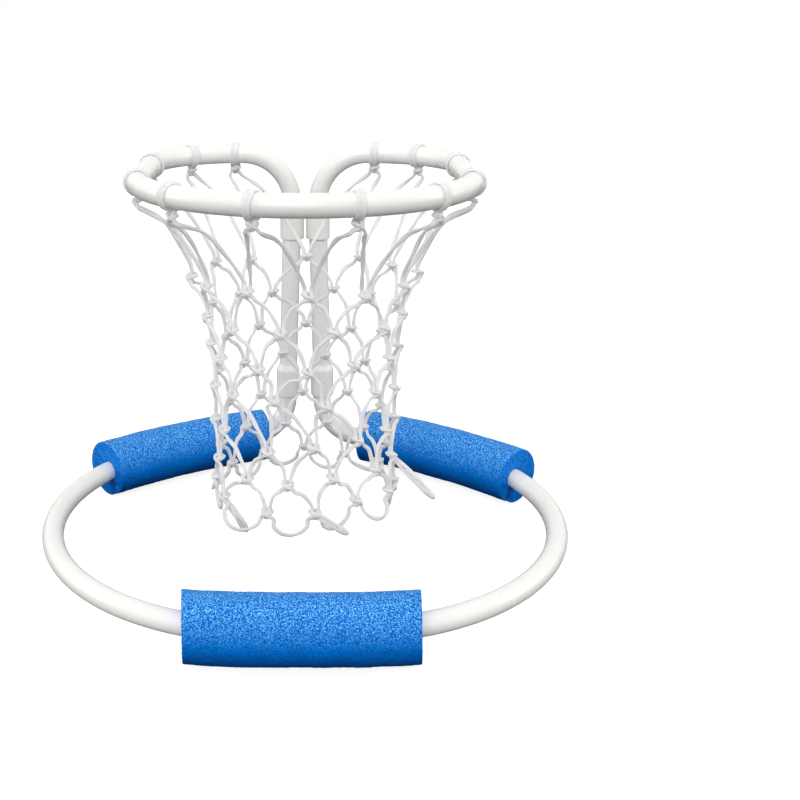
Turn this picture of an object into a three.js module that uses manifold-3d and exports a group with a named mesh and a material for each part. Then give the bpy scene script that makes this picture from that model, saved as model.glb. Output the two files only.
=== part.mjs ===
// Poolside basketball hoop: a white tube rim with a knotted net stands on two posts, which plug onto
// a tube ring that carries three slit foam floats.
// Millimetres, +Z up, -Y is the front. The ground is z = 0.
import * as THREE from "three";
import { ConvexHull } from "three/addons/math/ConvexHull.js";
import { mergeVertices } from "three/addons/utils/BufferGeometryUtils.js";
import Module from "manifold-3d";

const wasm = await Module();
wasm.setup();

const degree = Math.PI / 180;
const quarterTurn = 90 * degree;
const fullTurn = 360 * degree;

// Tube stock
const tubeDiameter = 21.34;
const tubeWall = 2.4;
const seamGap = 0.3;

// Belled sockets at the lower end of each post and of each rim leg
const socketClearance = 1;
const bellWall = 2.1;
const bellLip = 1.2;
const bellNeck = 6;
const footSocketDepth = 35;
const rimSocketDepth = 38;

// Base ring: a half for each side, joined in the middle of the front
const ringRadius = 231;
const ringEndAngle = 79.4 * degree;
const footBendRadius = 50;
const footHalfSpacing = 20.9;
const spigotLength = 30;
const spigotRoot = 12;
const spigotWall = 2;
const spigotTaper = 1.2;

// Posts: the straight end of each foot below its post, and the posts' spacing at the top as a share
// of their spacing at the feet
const footStubStraightLength = 3;
const postTopShare = 0.7225;

// Rim
const rimHeight = 377;
const rimHalfWidth = 161.5;
const rimReach = 365.8;
const rimBackHalfWidth = 69.5;
const rimLegHeading = 5 * degree;
const rimLegBendRadius = 57;
const rimLegStraightLength = 3.4;

// Foam floats: slit sleeves on the base ring
const floatDiameter = 64;
const floatBoreClearance = 0.6;
const floatSlitWidth = 9;
const floatSlitAngle = 24 * degree;
const frontFloatHalfAngle = 17.9 * degree;
const leftFloatStartAngle = 31.3 * degree;
const rightFloatStartAngle = 25.2 * degree;
const rearFloatSpanAngle = 53.7 * degree;

// A float is stiffer than the ring is curved. Its own bow and how far its middle stands further in are
// shares of the bow that the ring has under it.
const floatBowShare = 0.4;
const floatSetbackShare = 0.33;

// Net
const cordDiameter = 4.4;
const cordClearance = 0.3;
const wrapPitch = 5.1;
const knotReach = 4.6;
const panelGap = 0.4;
const netGroundClearance = 28;
const firstRowBulge = 15;
const endLoopSpread = 18;

// The net's axis in front of the legs as a share of rimReach
const netSetbackShare = 0.492;

// The knots' wander as a share of cordDiameter, and their lumps as a share of their cords' reach
const knotWanderShare = 0.57;
const knotBulgeShare = 0.9414;

// Turns of the knots' wander, in radians, from one knot to the next and from one row to the next
const wanderAlong = 5.1;
const wanderDown = 2.3;

// Places of the loops along half of the rim, from the middle of the front to the start of the leg bend
const loopPlaceShares = [0.09, 0.26, 0.45, 0.7, 0.88, 0.985];

// Rows of knots: drop below the rim as a share of netDrop, then the half width and half depth
// of the net there as shares of rimHalfWidth
const rowDropShares = [0.292, 0.395, 0.507, 0.61, 0.734, 0.84, 0.937];
const rowWidthShares = [0.78, 0.656, 0.607, 0.594, 0.588, 0.582, 0.588];
const rowDepthShares = [0.57, 0.545, 0.54, 0.54, 0.54, 0.54, 0.55];

// How far each row's knots still follow the loops' uneven spacing round the rim
const rowLeanShares = [0.7, 0.4, 0.2, 0, 0, 0, 0];

// How far each end loop leans outward, as a share of netDrop, one for each loop round the net
const endLoopLeanShares = [0, 0.03, -0.01, 0.02, 0.05, 0, 0.02, -0.01, 0.03, 0, 0.04, 0.01];

// Facets
const tubeSides = 12;
const boreSides = 6;
const latheSides = 16;
const floatSides = 20;
const floatBoreSides = 14;
const cordSides = 5;
const ringStep = 5.2 * degree;
const rimStep = 9 * degree;
const bendStep = 15 * degree;
const wrapSteps = 8;
const wrapSides = 4;
const wrapTurns = 2;
const domeSteps = 3;
const firstRowSteps = 2;
const endLoopSteps = 5;

// Worked out from the sizes above
const tubeRadius = tubeDiameter / 2;
const boreRadius = tubeRadius - tubeWall;
const socketRadius = tubeRadius + socketClearance;
const bellRadius = socketRadius + bellWall;
const floatRadius = floatDiameter / 2;
const cordRadius = cordDiameter / 2;
const ringHeight = floatRadius;
const legY = ringRadius * Math.sin(ringEndAngle) + footBendRadius * Math.cos(ringEndAngle);
const ringStraightHalf =
  footHalfSpacing + footBendRadius * Math.sin(ringEndAngle) - ringRadius * Math.cos(ringEndAngle);
const footSocketMouthHeight = ringHeight + footBendRadius + footStubStraightLength;
const postTopHalfSpacing = footHalfSpacing * postTopShare;
const rimLegEnd = rimHeight - rimLegBendRadius - rimLegStraightLength;
const rimSocketMouthHeight = rimLegEnd - rimSocketDepth;
const footSocketMiddle = footSocketMouthHeight + footSocketDepth / 2;
const rimSocketMiddle = rimSocketMouthHeight + rimSocketDepth / 2;
const postRise = rimSocketMiddle - footSocketMiddle;
const postLean = Math.atan2(footHalfSpacing - postTopHalfSpacing, postRise);
const postTilt = tubeRadius * Math.sin(postLean);
const footTop = footSocketMouthHeight + footSocketDepth - seamGap - postTilt;
const postTop = rimSocketMouthHeight + rimSocketDepth - seamGap - postTilt;
const postLength = (postTop - footSocketMiddle) / Math.cos(postLean) + footSocketDepth / 2;
const rimFrontCentreY = legY - rimReach + rimHalfWidth;
const rimCornerRadius = rimHalfWidth - rimBackHalfWidth;
const rimCornerEndX = rimBackHalfWidth + rimCornerRadius * Math.sin(rimLegHeading);
const rimBackStraight = (rimCornerEndX - postTopHalfSpacing) / Math.cos(rimLegHeading) - rimLegBendRadius;
const rimCornerEndY = legY - (rimBackStraight + rimLegBendRadius) * Math.sin(rimLegHeading);
const rimCornerY = rimCornerEndY - rimCornerRadius * Math.cos(rimLegHeading);
const netDrop = rimHeight - netGroundClearance;
const netCentreY = legY - rimReach * netSetbackShare;
const knotWander = cordDiameter * knotWanderShare;
const knotBulge = Math.hypot(knotReach, cordRadius) * knotBulgeShare;
const loopCount = 2 * loopPlaceShares.length;
const columnStep = fullTurn / loopCount;

// How much further than its curve's lowest point a cubic curve's inner control points lie
const controlReach = 4 / 3;

const X = new THREE.Vector3(1, 0, 0);
const Y = new THREE.Vector3(0, 1, 0);
const Z = new THREE.Vector3(0, 0, 1);

const whiteTube = new THREE.MeshStandardMaterial({ color: 0xf5f5f3, roughness: 0.35, metalness: 0 });
const blueFoam = new THREE.MeshStandardMaterial({ color: 0x0f6fd6, roughness: 0.9, metalness: 0 });
const whiteCord = new THREE.MeshStandardMaterial({ color: 0xeceae6, roughness: 0.8, metalness: 0 });

const vector = (x, y, z) => new THREE.Vector3(x, y, z);

// A path through chosen stations, so that bends get short steps and straights long ones.
class StationPath extends THREE.Curve {
  constructor(stations) {
    super();
    this.stations = stations;
  }

  getPoint(t, target = new THREE.Vector3()) {
    const last = this.stations.length - 1;
    const first = Math.min(Math.floor(t * last), last - 1);
    return target.lerpVectors(this.stations[first], this.stations[first + 1], t * last - first);
  }

  getPointAt(u, target) {
    return this.getPoint(u, target);
  }

  getTangentAt(u, target = new THREE.Vector3()) {
    const last = this.stations.length - 1;
    const at = Math.round(u * last);
    const here = this.stations[at];
    const ahead = this.stations[Math.min(at + 1, last)].clone().sub(here).normalize();
    const behind = here.clone().sub(this.stations[Math.max(at - 1, 0)]).normalize();
    return target.addVectors(ahead, behind).normalize();
  }
}

// Stations on an arc: centre + radius * (cos(angle) * across + sin(angle) * along).
function arcStations(centre, radius, across, along, from, to, step) {
  const steps = Math.max(1, Math.ceil(Math.abs(to - from) / step));
  return Array.from({ length: steps + 1 }, (_, i) => {
    const angle = from + ((to - from) * i) / steps;
    return centre
      .clone()
      .addScaledVector(across, radius * Math.cos(angle))
      .addScaledVector(along, radius * Math.sin(angle));
  });
}

// The stations without any that repeats the one before it.
function joinStations(...runs) {
  return runs.flat().filter((p, i, all) => i === 0 || p.distanceTo(all[i - 1]) > seamGap / 10);
}

// The first stretch of a run of stations.
function firstStations(stations, length) {
  const kept = [stations[0]];
  let left = length;
  for (const next of stations.slice(1)) {
    const last = kept[kept.length - 1];
    const run = last.distanceTo(next);
    if (run >= left) return [...kept, last.clone().lerp(next, left / run)];
    left -= run;
    kept.push(next);
  }
  return kept;
}

// Corners of a regular polygon; "round" is the radius of its corners, "turn" a share of one side.
function polygon(sides, round, turn = 0) {
  return Array.from({ length: sides }, (_, i) => {
    const angle = ((i + turn) * fullTurn) / sides;
    return new THREE.Vector2(round * Math.cos(angle), round * Math.sin(angle));
  });
}

// A section swept along stations, closed at both ends.
function sweep(outline, stations, bore) {
  const shape = new THREE.Shape(outline);
  if (bore) shape.holes.push(new THREE.Path(bore));
  return new THREE.ExtrudeGeometry(shape, {
    steps: stations.length - 1,
    extrudePath: new StationPath(stations),
    bevelEnabled: false,
  });
}

// A tube with its bore, open at both ends. The bore's flats lie at the true bore radius.
function tubeAlong(stations) {
  const bore = polygon(boreSides, boreRadius / Math.cos(fullTurn / boreSides / 2));
  return sweep(polygon(tubeSides, tubeRadius), stations, bore);
}

// A profile of [radius, height] points turned about Z; it closes on itself.
function turned(profile) {
  const points = [...profile, profile[0]].map(([radius, height]) => new THREE.Vector2(radius, height));
  return new THREE.LatheGeometry(points, latheSides).rotateX(quarterTurn);
}

// The solid of a geometry, turned the right way out.
function solidOf(geometry) {
  const bare = geometry.index ? geometry.toNonIndexed() : geometry.clone();
  bare.deleteAttribute("normal");
  bare.deleteAttribute("uv");
  const merged = mergeVertices(bare, seamGap / 1000);
  const triVerts = new Uint32Array(merged.index.array);
  const solid = new wasm.Manifold(
    new wasm.Mesh({ numProp: 3, vertProperties: merged.attributes.position.array, triVerts }),
  );
  if (solid.volume() > 0) return solid;
  for (let i = 0; i < triVerts.length; i += 3) triVerts.subarray(i, i + 2).reverse();
  return new wasm.Manifold(
    new wasm.Mesh({ numProp: 3, vertProperties: merged.attributes.position.array, triVerts }),
  );
}

// Geometries joined into one closed body, less those cut from it, as a geometry with flat faces.
function joined(geometries, cuts = []) {
  const whole = geometries.map(solidOf).reduce((sum, piece) => sum.add(piece));
  const mesh = cuts.map(solidOf).reduce((rest, piece) => rest.subtract(piece), whole).getMesh();
  const positions = new Float32Array(mesh.numVert * 3);
  for (let i = 0; i < mesh.numVert; i += 1) {
    positions.set(mesh.vertProperties.subarray(i * mesh.numProp, i * mesh.numProp + 3), i * 3);
  }
  const indexed = new THREE.BufferGeometry();
  indexed.setAttribute("position", new THREE.BufferAttribute(positions, 3));
  indexed.setIndex(new THREE.BufferAttribute(new Uint32Array(mesh.triVerts), 1));
  const flat = indexed.toNonIndexed();
  flat.computeVertexNormals();
  return flat;
}

function pieceMesh(name, geometry, material) {
  const mesh = new THREE.Mesh(geometry, material);
  mesh.name = name;
  return mesh;
}

// Base ring

// The ring's centre line on one side, at an angle counted from its widest point towards the back.
function ringPoint(side, angle) {
  return vector(
    side * (ringStraightHalf + ringRadius * Math.cos(angle)),
    ringRadius * Math.sin(angle),
    ringHeight,
  );
}

function ringArc(side, from, to) {
  const centre = vector(side * ringStraightHalf, 0, ringHeight);
  return arcStations(centre, ringRadius, X.clone().multiplyScalar(side), Y, from, to, ringStep);
}

// The bend from the end of the ring up into the foot.
function footBend(side) {
  const heading = vector(-side * Math.sin(ringEndAngle), Math.cos(ringEndAngle), 0);
  const centre = ringPoint(side, ringEndAngle).addScaledVector(Z, footBendRadius);
  return arcStations(centre, footBendRadius, Z.clone().negate(), heading, 0, quarterTurn, bendStep);
}

// Half of the ring, from the joint at the front to the top of the foot that the post stands on.
function baseStations(side) {
  const foot = vector(side * footHalfSpacing, legY, footTop);
  const start = vector((side * seamGap) / 2, -ringRadius, ringHeight);
  return joinStations([start], ringArc(side, -quarterTurn, ringEndAngle), footBend(side), [foot]);
}

// The narrowed end of the right half, which slides along the left half inside the front float.
function spigot() {
  const outer = boreRadius - seamGap;
  const inner = outer - spigotWall;
  const root = vector(spigotRoot, -ringRadius, ringHeight);
  const stations = [root, ...firstStations(baseStations(-1), spigotLength - seamGap / 2)];
  return sweep(polygon(latheSides, outer), stations, polygon(latheSides, inner));
}

// The thicker root that holds the spigot in the right half's bore.
function spigotCollar() {
  const outer = boreRadius - seamGap;
  const grip = tubeRadius - tubeWall / 2;
  const profile = [
    [outer, seamGap / 2],
    [grip, seamGap / 2 + spigotTaper],
    [grip, spigotRoot],
    [outer - spigotWall / 2, spigotRoot],
    [outer - spigotWall / 2, seamGap / 2],
  ];
  return turned(profile).rotateY(quarterTurn).translate(0, -ringRadius, ringHeight);
}

function baseTubes() {
  const left = tubeAlong(baseStations(-1));
  const right = joined([tubeAlong(baseStations(1)), spigot(), spigotCollar()]);
  return [
    pieceMesh("base_left_tube", left, whiteTube),
    pieceMesh("base_right_tube", right, whiteTube),
  ];
}

// Posts

// The rounded shoulder where a bell narrows to the tube.
function bellShoulder(depth) {
  return Array.from({ length: domeSteps + 1 }, (_, i) => {
    const angle = (quarterTurn * i) / domeSteps;
    const spread = bellRadius - tubeRadius;
    return [tubeRadius + spread * Math.cos(angle), depth - bellNeck / 2 + bellNeck * Math.sin(angle)];
  });
}

function postGeometry() {
  return turned([
    [socketRadius, 0],
    [bellRadius - bellLip, 0],
    [bellRadius, bellLip],
    ...bellShoulder(footSocketDepth),
    [tubeRadius, postLength],
    [boreRadius, postLength],
    [boreRadius, footSocketDepth],
    [socketRadius, footSocketDepth],
  ]);
}

// A post stands in the middle of its lower socket and leans in towards the other one.
function post(name, side) {
  const geometry = postGeometry().translate(0, 0, -footSocketDepth / 2);
  const mesh = pieceMesh(name, geometry, whiteTube);
  mesh.position.set(side * footHalfSpacing, legY, footSocketMiddle);
  mesh.rotation.y = -side * postLean;
  return mesh;
}

// Rim

// Half of the rim's ring on the right, from the middle of the front to the start of the leg bend.
function rimHalfStations(step) {
  const front = vector(0, rimFrontCentreY, rimHeight);
  const corner = vector(rimBackHalfWidth, rimCornerY, rimHeight);
  const bendStart = vector(rimCornerEndX, rimCornerEndY, rimHeight).add(
    vector(-Math.cos(rimLegHeading), Math.sin(rimLegHeading), 0).multiplyScalar(rimBackStraight),
  );
  return joinStations(
    arcStations(front, rimHalfWidth, X, Y, -quarterTurn, 0, step),
    arcStations(corner, rimCornerRadius, X, Y, 0, quarterTurn - rimLegHeading, step),
    [bendStart],
  );
}

const mirrored = (p) => vector(-p.x, p.y, p.z);

function rimStations() {
  const ring = rimHalfStations(rimStep);
  const bendStart = ring[ring.length - 1];
  const heading = vector(-Math.cos(rimLegHeading), Math.sin(rimLegHeading), 0);
  const bendCentre = bendStart.clone().addScaledVector(Z, -rimLegBendRadius);
  const bend = arcStations(bendCentre, rimLegBendRadius, Z, heading, 0, quarterTurn, bendStep);
  const legEnd = vector(postTopHalfSpacing, legY, rimLegEnd);
  const right = joinStations(ring, bend, [legEnd]);
  const left = right.map(mirrored).reverse();
  return joinStations(left, right);
}

// The belled lower end of a rim leg.
function rimBell(side) {
  const grip = tubeRadius - tubeWall / 2;
  const profile = [
    [socketRadius, 0],
    [bellRadius - bellLip, 0],
    [bellRadius, bellLip],
    ...bellShoulder(rimSocketDepth),
    [grip, rimSocketDepth + bellNeck / 2],
    [grip, rimSocketDepth],
    [socketRadius, rimSocketDepth],
  ];
  return turned(profile).translate(side * postTopHalfSpacing, legY, rimSocketMouthHeight);
}

function rim() {
  const geometry = joined([tubeAlong(rimStations()), rimBell(-1), rimBell(1)]);
  return pieceMesh("rim_tube", geometry, whiteTube);
}

// Foam floats

// The corner radius of a polygon whose flats lie at the true radius.
const flatsAt = (radius, sides) => radius / Math.cos(fullTurn / sides / 2);

// A sleeve's section has a flat at the bottom.
const floatSection = polygon(floatSides, flatsAt(floatRadius, floatSides), 1 / 2);
const floatBore = polygon(floatBoreSides, flatsAt(tubeRadius + floatBoreClearance, floatBoreSides));

// The slit's section, from the bore's middle out: down is +X, towards the middle of the ring is +Y.
function slitSection() {
  const out = new THREE.Vector2(Math.cos(floatSlitAngle), Math.sin(floatSlitAngle));
  const across = new THREE.Vector2(-out.y, out.x).multiplyScalar(floatSlitWidth / 2);
  const far = out.clone().multiplyScalar(floatDiameter);
  return [across.clone().negate(), far.clone().sub(across), far.clone().add(across), across];
}

// A float's axis over a stretch of the ring whose middle is given with its outward direction.
function floatAxis(ring, middle, outward) {
  const fallOf = (p) => middle.clone().sub(p).dot(outward);
  const setback = fallOf(ring[0]) * floatSetbackShare;
  return ring.map((p) => {
    const fall = fallOf(p);
    return p.clone().addScaledVector(outward, fall - fall * floatBowShare - setback);
  });
}

// A slit sleeve whose bore follows the ring's line, which runs on past its ends.
function floatSleeve(name, axis, line, more = []) {
  const bore = joined([sweep(floatBore, line), sweep(slitSection(), line)]);
  return pieceMesh(name, joined([sweep(floatSection, axis)], [bore, ...more]), blueFoam);
}

function frontFloat() {
  const stretch = (angle) =>
    joinStations(ringArc(-1, angle, -quarterTurn), ringArc(1, -quarterTurn, angle));
  const end = -quarterTurn + frontFloatHalfAngle;
  const outward = Y.clone().negate();
  const axis = floatAxis(stretch(end), vector(0, -ringRadius, ringHeight), outward);
  return floatSleeve("front_float", axis, stretch(end + ringStep));
}

// A float at the back. Where it covers the start of the foot's bend, its bore opens upward as well.
function rearFloat(name, side, from) {
  const to = from + rearFloatSpanAngle;
  const middleAngle = (from + to) / 2;
  const outward = vector(side * Math.cos(middleAngle), Math.sin(middleAngle), 0);
  const inOrder = (stations) => (side > 0 ? stations : stations.reverse());
  const axis = floatAxis(inOrder(ringArc(side, from, to)), ringPoint(side, middleAngle), outward);
  const line = inOrder(ringArc(side, from - ringStep, to + ringStep));
  const foot = [ringPoint(side, ringEndAngle - ringStep), ...footBend(side)];
  return floatSleeve(name, axis, line, to > ringEndAngle ? [sweep(floatBore, foot)] : []);
}

function floats() {
  return [
    frontFloat(),
    rearFloat("left_float", -1, leftFloatStartAngle),
    rearFloat("right_float", 1, rightFloatStartAngle),
  ];
}

// Net

// The rim's centre line and its direction at a share of the way to the leg bend; side is -1 or 1.
function rimPlace(share, side) {
  const stations = rimHalfStations(degree);
  const runs = stations.slice(1).map((p, i) => p.distanceTo(stations[i]));
  let left = share * runs.reduce((sum, run) => sum + run, 0);
  let i = 0;
  while (left > runs[i] && i < runs.length - 1) {
    left -= runs[i];
    i += 1;
  }
  const along = stations[i + 1].clone().sub(stations[i]).normalize();
  const point = stations[i].clone().addScaledVector(along, left);
  return side > 0 ? { point, along } : { point: mirrored(point), along: mirrored(along) };
}

// The places of the loops in order round the net, from the front to the right, the back and the left.
const loops = [
  ...loopPlaceShares.map((share) => rimPlace(share, 1)),
  ...loopPlaceShares.map((share) => rimPlace(share, -1)).reverse(),
];

// Azimuth round the net's axis, from the front towards the right, always growing with the loop's number.
function loopAzimuth(loop) {
  const place = loops[((loop % loopCount) + loopCount) % loopCount].point;
  const azimuth = Math.atan2(place.x, netCentreY - place.y);
  const turns = Math.floor(loop / loopCount);
  return (azimuth < 0 ? azimuth + fullTurn : azimuth) + turns * fullTurn;
}

// A knot of a row, counted from 0 at the top. Odd rows stand under the loops, even ones between
// loops number and number - 1.
function knotPlace(row, number) {
  const between = row % 2 === 0;
  const even = (number + (between ? 0 : 1 / 2)) * columnStep;
  const uneven = between ? (loopAzimuth(number) + loopAzimuth(number - 1)) / 2 : loopAzimuth(number);
  const wrapped = ((number % loopCount) + loopCount) % loopCount;
  const phase = wanderAlong * wrapped + wanderDown * row;
  const width = rimHalfWidth * rowWidthShares[row];
  const depth = rimHalfWidth * rowDepthShares[row];
  const azimuth = even + (uneven - even) * rowLeanShares[row] + (knotWander / width) * Math.sin(phase);
  const point = vector(
    width * Math.sin(azimuth),
    netCentreY - depth * Math.cos(azimuth),
    rimHeight - netDrop * rowDropShares[row] + knotWander * Math.cos(2 * phase),
  );
  return { point, outward: vector(Math.sin(azimuth), -Math.cos(azimuth), 0) };
}

// The knot under the rim where a loop's two cords leave.
function loopKnot(loop) {
  const { point, along } = loops[loop];
  const drop = tubeRadius + cordClearance + cordDiameter + knotBulge / 2;
  const outward = vector(point.x, point.y - netCentreY, 0).normalize();
  return { point: point.clone().addScaledVector(Z, -drop), outward, along };
}

// The five corners of a cord's section, square to its direction.
function cordRing(centre, direction, outward) {
  const side = direction.clone().cross(outward).normalize();
  const face = direction.clone().cross(side).normalize();
  return polygon(cordSides, cordRadius).map((corner) =>
    centre.clone().addScaledVector(side, corner.x).addScaledVector(face, corner.y),
  );
}

// The faces round a run of rings, open at both ends.
function sleeveFaces(rings) {
  const faces = [];
  const sides = rings[0].length;
  for (let r = 0; r < rings.length - 1; r += 1) {
    for (let i = 0; i < sides; i += 1) {
      const next = (i + 1) % sides;
      faces.push(rings[r][i], rings[r][next], rings[r + 1][next]);
      faces.push(rings[r][i], rings[r + 1][next], rings[r + 1][i]);
    }
  }
  return faces;
}

// How far from a knot's middle its cords start, clear of each other and of the panel's edge.
function knotRadius(knot) {
  const ways = knot.cords.map((entry) => entry.way);
  const reaches = [knotReach];
  ways.forEach((way, i) => {
    for (const other of ways.slice(i + 1)) {
      reaches.push((cordRadius + cordClearance) / Math.tan(way.angleTo(other) / 2));
    }
    if (knot.edge) {
      const sine = Math.abs(way.dot(knot.edge));
      reaches.push((panelGap / 2 + cordRadius * Math.sqrt(1 - sine * sine)) / sine);
    }
  });
  return Math.max(...reaches);
}

// A panel of the net: everything from one loop on the rim down to its end loop. The knots on its two
// edges are halves, which face the halves of the neighbouring panels.
function netPanel(loop) {
  const rows = rowDropShares.length;
  const top = loopKnot(loop);
  const knots = [{ ...top, cords: [] }];
  const edgeOf = (knot, sign) => vector(-knot.outward.y, knot.outward.x, 0).multiplyScalar(sign);
  const rowKnots = rowDropShares.map((_, row) => {
    if (row % 2 === 1) {
      const middle = { ...knotPlace(row, loop), cords: [] };
      knots.push(middle);
      return [middle, middle];
    }
    const first = { ...knotPlace(row, loop), cords: [] };
    const second = { ...knotPlace(row, loop + 1), cords: [] };
    first.edge = edgeOf(first, 1);
    second.edge = edgeOf(second, -1);
    knots.push(first, second);
    return [first, second];
  });
  const cords = [];
  const link = (from, to, curve, steps) => {
    const cord = { from, to, curve, steps };
    const early = knotReach / curve.getLength();
    from.cords.push({ cord, way: curve.getPointAt(early).sub(from.point).normalize() });
    to.cords.push({ cord, way: curve.getPointAt(1 - early).sub(to.point).normalize() });
    cords.push(cord);
  };
  for (const side of [0, 1]) {
    const first = rowKnots[0][side];
    const lift = top.point.clone().lerp(first.point, 1 / 2).addScaledVector(Z, firstRowBulge);
    link(knots[0], first, new THREE.QuadraticBezierCurve3(top.point, lift, first.point), firstRowSteps);
    for (let row = 1; row < rows; row += 1) {
      const above = rowKnots[row - 1][side];
      const below = rowKnots[row][side];
      link(above, below, new THREE.LineCurve3(above.point, below.point), 1);
    }
  }
  const [left, right] = rowKnots[rows - 1];
  link(left, right, endLoopCurve(left, right, loop), endLoopSteps);
  const faces = cords.flatMap((cord) => cordFaces(cord));
  for (const knot of knots) faces.push(...knotFaces(knot));
  return joined([new THREE.BufferGeometry().setFromPoints(faces), rimWrap(loop)]);
}

// The open loop that hangs at the bottom between two knots.
function endLoopCurve(left, right, loop) {
  const depth = netDrop * (1 - rowDropShares[rowDropShares.length - 1]) * controlReach;
  const middle = left.outward.clone().add(right.outward).normalize();
  const lean = middle.multiplyScalar(netDrop * endLoopLeanShares[loop] * controlReach);
  const low = (knot, other) => {
    const apart = knot.point.clone().sub(other.point).normalize();
    const below = knot.point.clone().addScaledVector(Z, -depth).add(lean);
    return below.addScaledVector(apart, -endLoopSpread / 2);
  };
  return new THREE.CubicBezierCurve3(left.point, low(left, right), low(right, left), right.point);
}

// The faces of a cord between two knots; its end rings are kept for the knots.
function cordFaces(cord) {
  const { from, to, curve, steps } = cord;
  const total = curve.getLength();
  const start = knotRadius(from) / total;
  const end = 1 - knotRadius(to) / total;
  const rings = Array.from({ length: steps + 1 }, (_, i) => {
    const u = start + ((end - start) * i) / steps;
    const outward = from.outward.clone().lerp(to.outward, u);
    const point = curve.getPointAt(u);
    const way = curve.getTangentAt(u);
    if (i === 0) way.subVectors(point, from.point).normalize();
    if (i === steps) way.subVectors(to.point, point).normalize();
    return cordRing(point, way, outward);
  });
  cord.startRing = rings[0];
  cord.endRing = rings[rings.length - 1];
  return sleeveFaces(rings);
}

// The lumps that a knot has besides its cords; on a panel's edge they lie on the panel's own side.
function knotLumps(knot) {
  const at = (way, reach) => knot.point.clone().addScaledVector(way, reach);
  if (knot.along) {
    const up = knotBulge / 2 + cordRadius;
    return [-1, 1].flatMap((sign) => [
      at(knot.along, sign * wrapPitch).addScaledVector(Z, up),
      at(knot.outward, sign * knotBulge),
    ]);
  }
  const lumps = [at(knot.outward, knotBulge), at(knot.outward, -knotBulge)];
  if (!knot.edge) return lumps;
  lumps.push(at(Z, knotBulge), at(Z, -knotBulge));
  return lumps.map((lump) => lump.addScaledVector(knot.edge, panelGap / 2));
}

// The faces of a knot drawn tight over its cords' ends, open where the cords enter.
function knotFaces(knot) {
  const rings = knot.cords.map(({ cord }) => (cord.from === knot ? cord.startRing : cord.endRing));
  const hull = new ConvexHull().setFromPoints([...rings.flat(), ...knotLumps(knot)]);
  return hull.faces.flatMap((face) => {
    const corners = [face.edge.prev, face.edge, face.edge.next].map((edge) => edge.head().point);
    const entry = rings.some((ring) => corners.every((corner) => ring.includes(corner)));
    return entry ? [] : corners;
  });
}

// The cord's turns round the rim tube.
function rimWrap(loop) {
  const { point, along } = loops[loop];
  const across = along.clone().cross(Z).normalize();
  const reach = (tubeRadius + cordClearance + cordRadius) / Math.cos(fullTurn / wrapSteps / 2);
  const steps = wrapSteps * wrapTurns;
  const stations = Array.from({ length: steps + 1 }, (_, i) => {
    const angle = (fullTurn * i) / wrapSteps - quarterTurn;
    const shift = wrapPitch * (i / wrapSteps - wrapTurns / 2);
    return point
      .clone()
      .addScaledVector(along, shift)
      .addScaledVector(across, reach * Math.cos(angle))
      .addScaledVector(Z, reach * Math.sin(angle));
  });
  return sweep(polygon(wrapSides, cordRadius), stations);
}

function netPanels() {
  return Array.from({ length: loopCount }, (_, loop) => {
    const name = `net_panel_${String(loop + 1).padStart(2, "0")}`;
    return pieceMesh(name, netPanel(loop), whiteCord);
  });
}

// The whole hoop. It is moved so that the middle of its footprint is at the origin.
function hoop() {
  const group = new THREE.Group();
  group.add(
    ...baseTubes(),
    post("left_post", -1),
    post("right_post", 1),
    rim(),
    ...floats(),
    ...netPanels(),
  );
  group.position.y = -new THREE.Box3().setFromObject(group).getCenter(vector(0, 0, 0)).y;
  return group;
}

export default hoop();
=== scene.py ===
"""Looks of a poolside basketball hoop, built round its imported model.

White PVC tubes, slit foam floats and a net of knotted cord are made as fine meshes in the frame of the
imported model, dressed with procedural materials, and set on a pale studio floor. Sizes are in millimetres
and become metres where a mesh is written.
"""

import logging
import math
from abc import ABC, abstractmethod
from dataclasses import dataclass, field
from enum import Enum
from functools import partial

import bmesh
import bpy
import numpy as np
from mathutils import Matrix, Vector


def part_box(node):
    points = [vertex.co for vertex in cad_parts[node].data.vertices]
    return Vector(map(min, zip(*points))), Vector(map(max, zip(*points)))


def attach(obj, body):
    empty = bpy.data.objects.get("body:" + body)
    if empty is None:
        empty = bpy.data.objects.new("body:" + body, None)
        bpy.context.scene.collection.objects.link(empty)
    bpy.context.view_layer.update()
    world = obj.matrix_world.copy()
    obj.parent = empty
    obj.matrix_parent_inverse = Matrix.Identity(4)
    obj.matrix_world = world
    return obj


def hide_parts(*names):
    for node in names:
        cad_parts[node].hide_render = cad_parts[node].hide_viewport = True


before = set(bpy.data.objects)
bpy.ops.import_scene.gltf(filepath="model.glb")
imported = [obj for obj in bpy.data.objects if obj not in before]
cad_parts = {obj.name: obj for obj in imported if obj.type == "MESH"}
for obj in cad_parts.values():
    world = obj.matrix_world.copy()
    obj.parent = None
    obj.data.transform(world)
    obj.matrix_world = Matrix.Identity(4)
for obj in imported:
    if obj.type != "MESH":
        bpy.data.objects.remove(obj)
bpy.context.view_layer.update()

LOG = logging.getLogger("hoop")
MM = 0.001
MERGE_MM = 0.0005
TINY = 1e-12
FULL_TURN = 2 * math.pi
WAVE_SPREAD = (0.7, 1.3)
UP = np.array([0.0, 0.0, 1.0])
FRONT = np.array([0.0, -1.0, 0.0])
SIDEWAYS = np.array([1.0, 0.0, 0.0])
MIRROR = np.array([-1.0, 1.0, 1.0])

Pairs = list[tuple[float, float]]
Shares = tuple[float, ...]
Colour = str | bpy.types.NodeSocket


class Side(Enum):
    """A side of the hoop seen from the front, or of a knot seen from outside. The value is its sign."""

    LEFT = -1
    RIGHT = 1


# Mesh tools


def unit(vectors: np.ndarray) -> np.ndarray:
    """Return vectors at length one."""
    return vectors / np.linalg.norm(vectors, axis=-1, keepdims=True)


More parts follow.
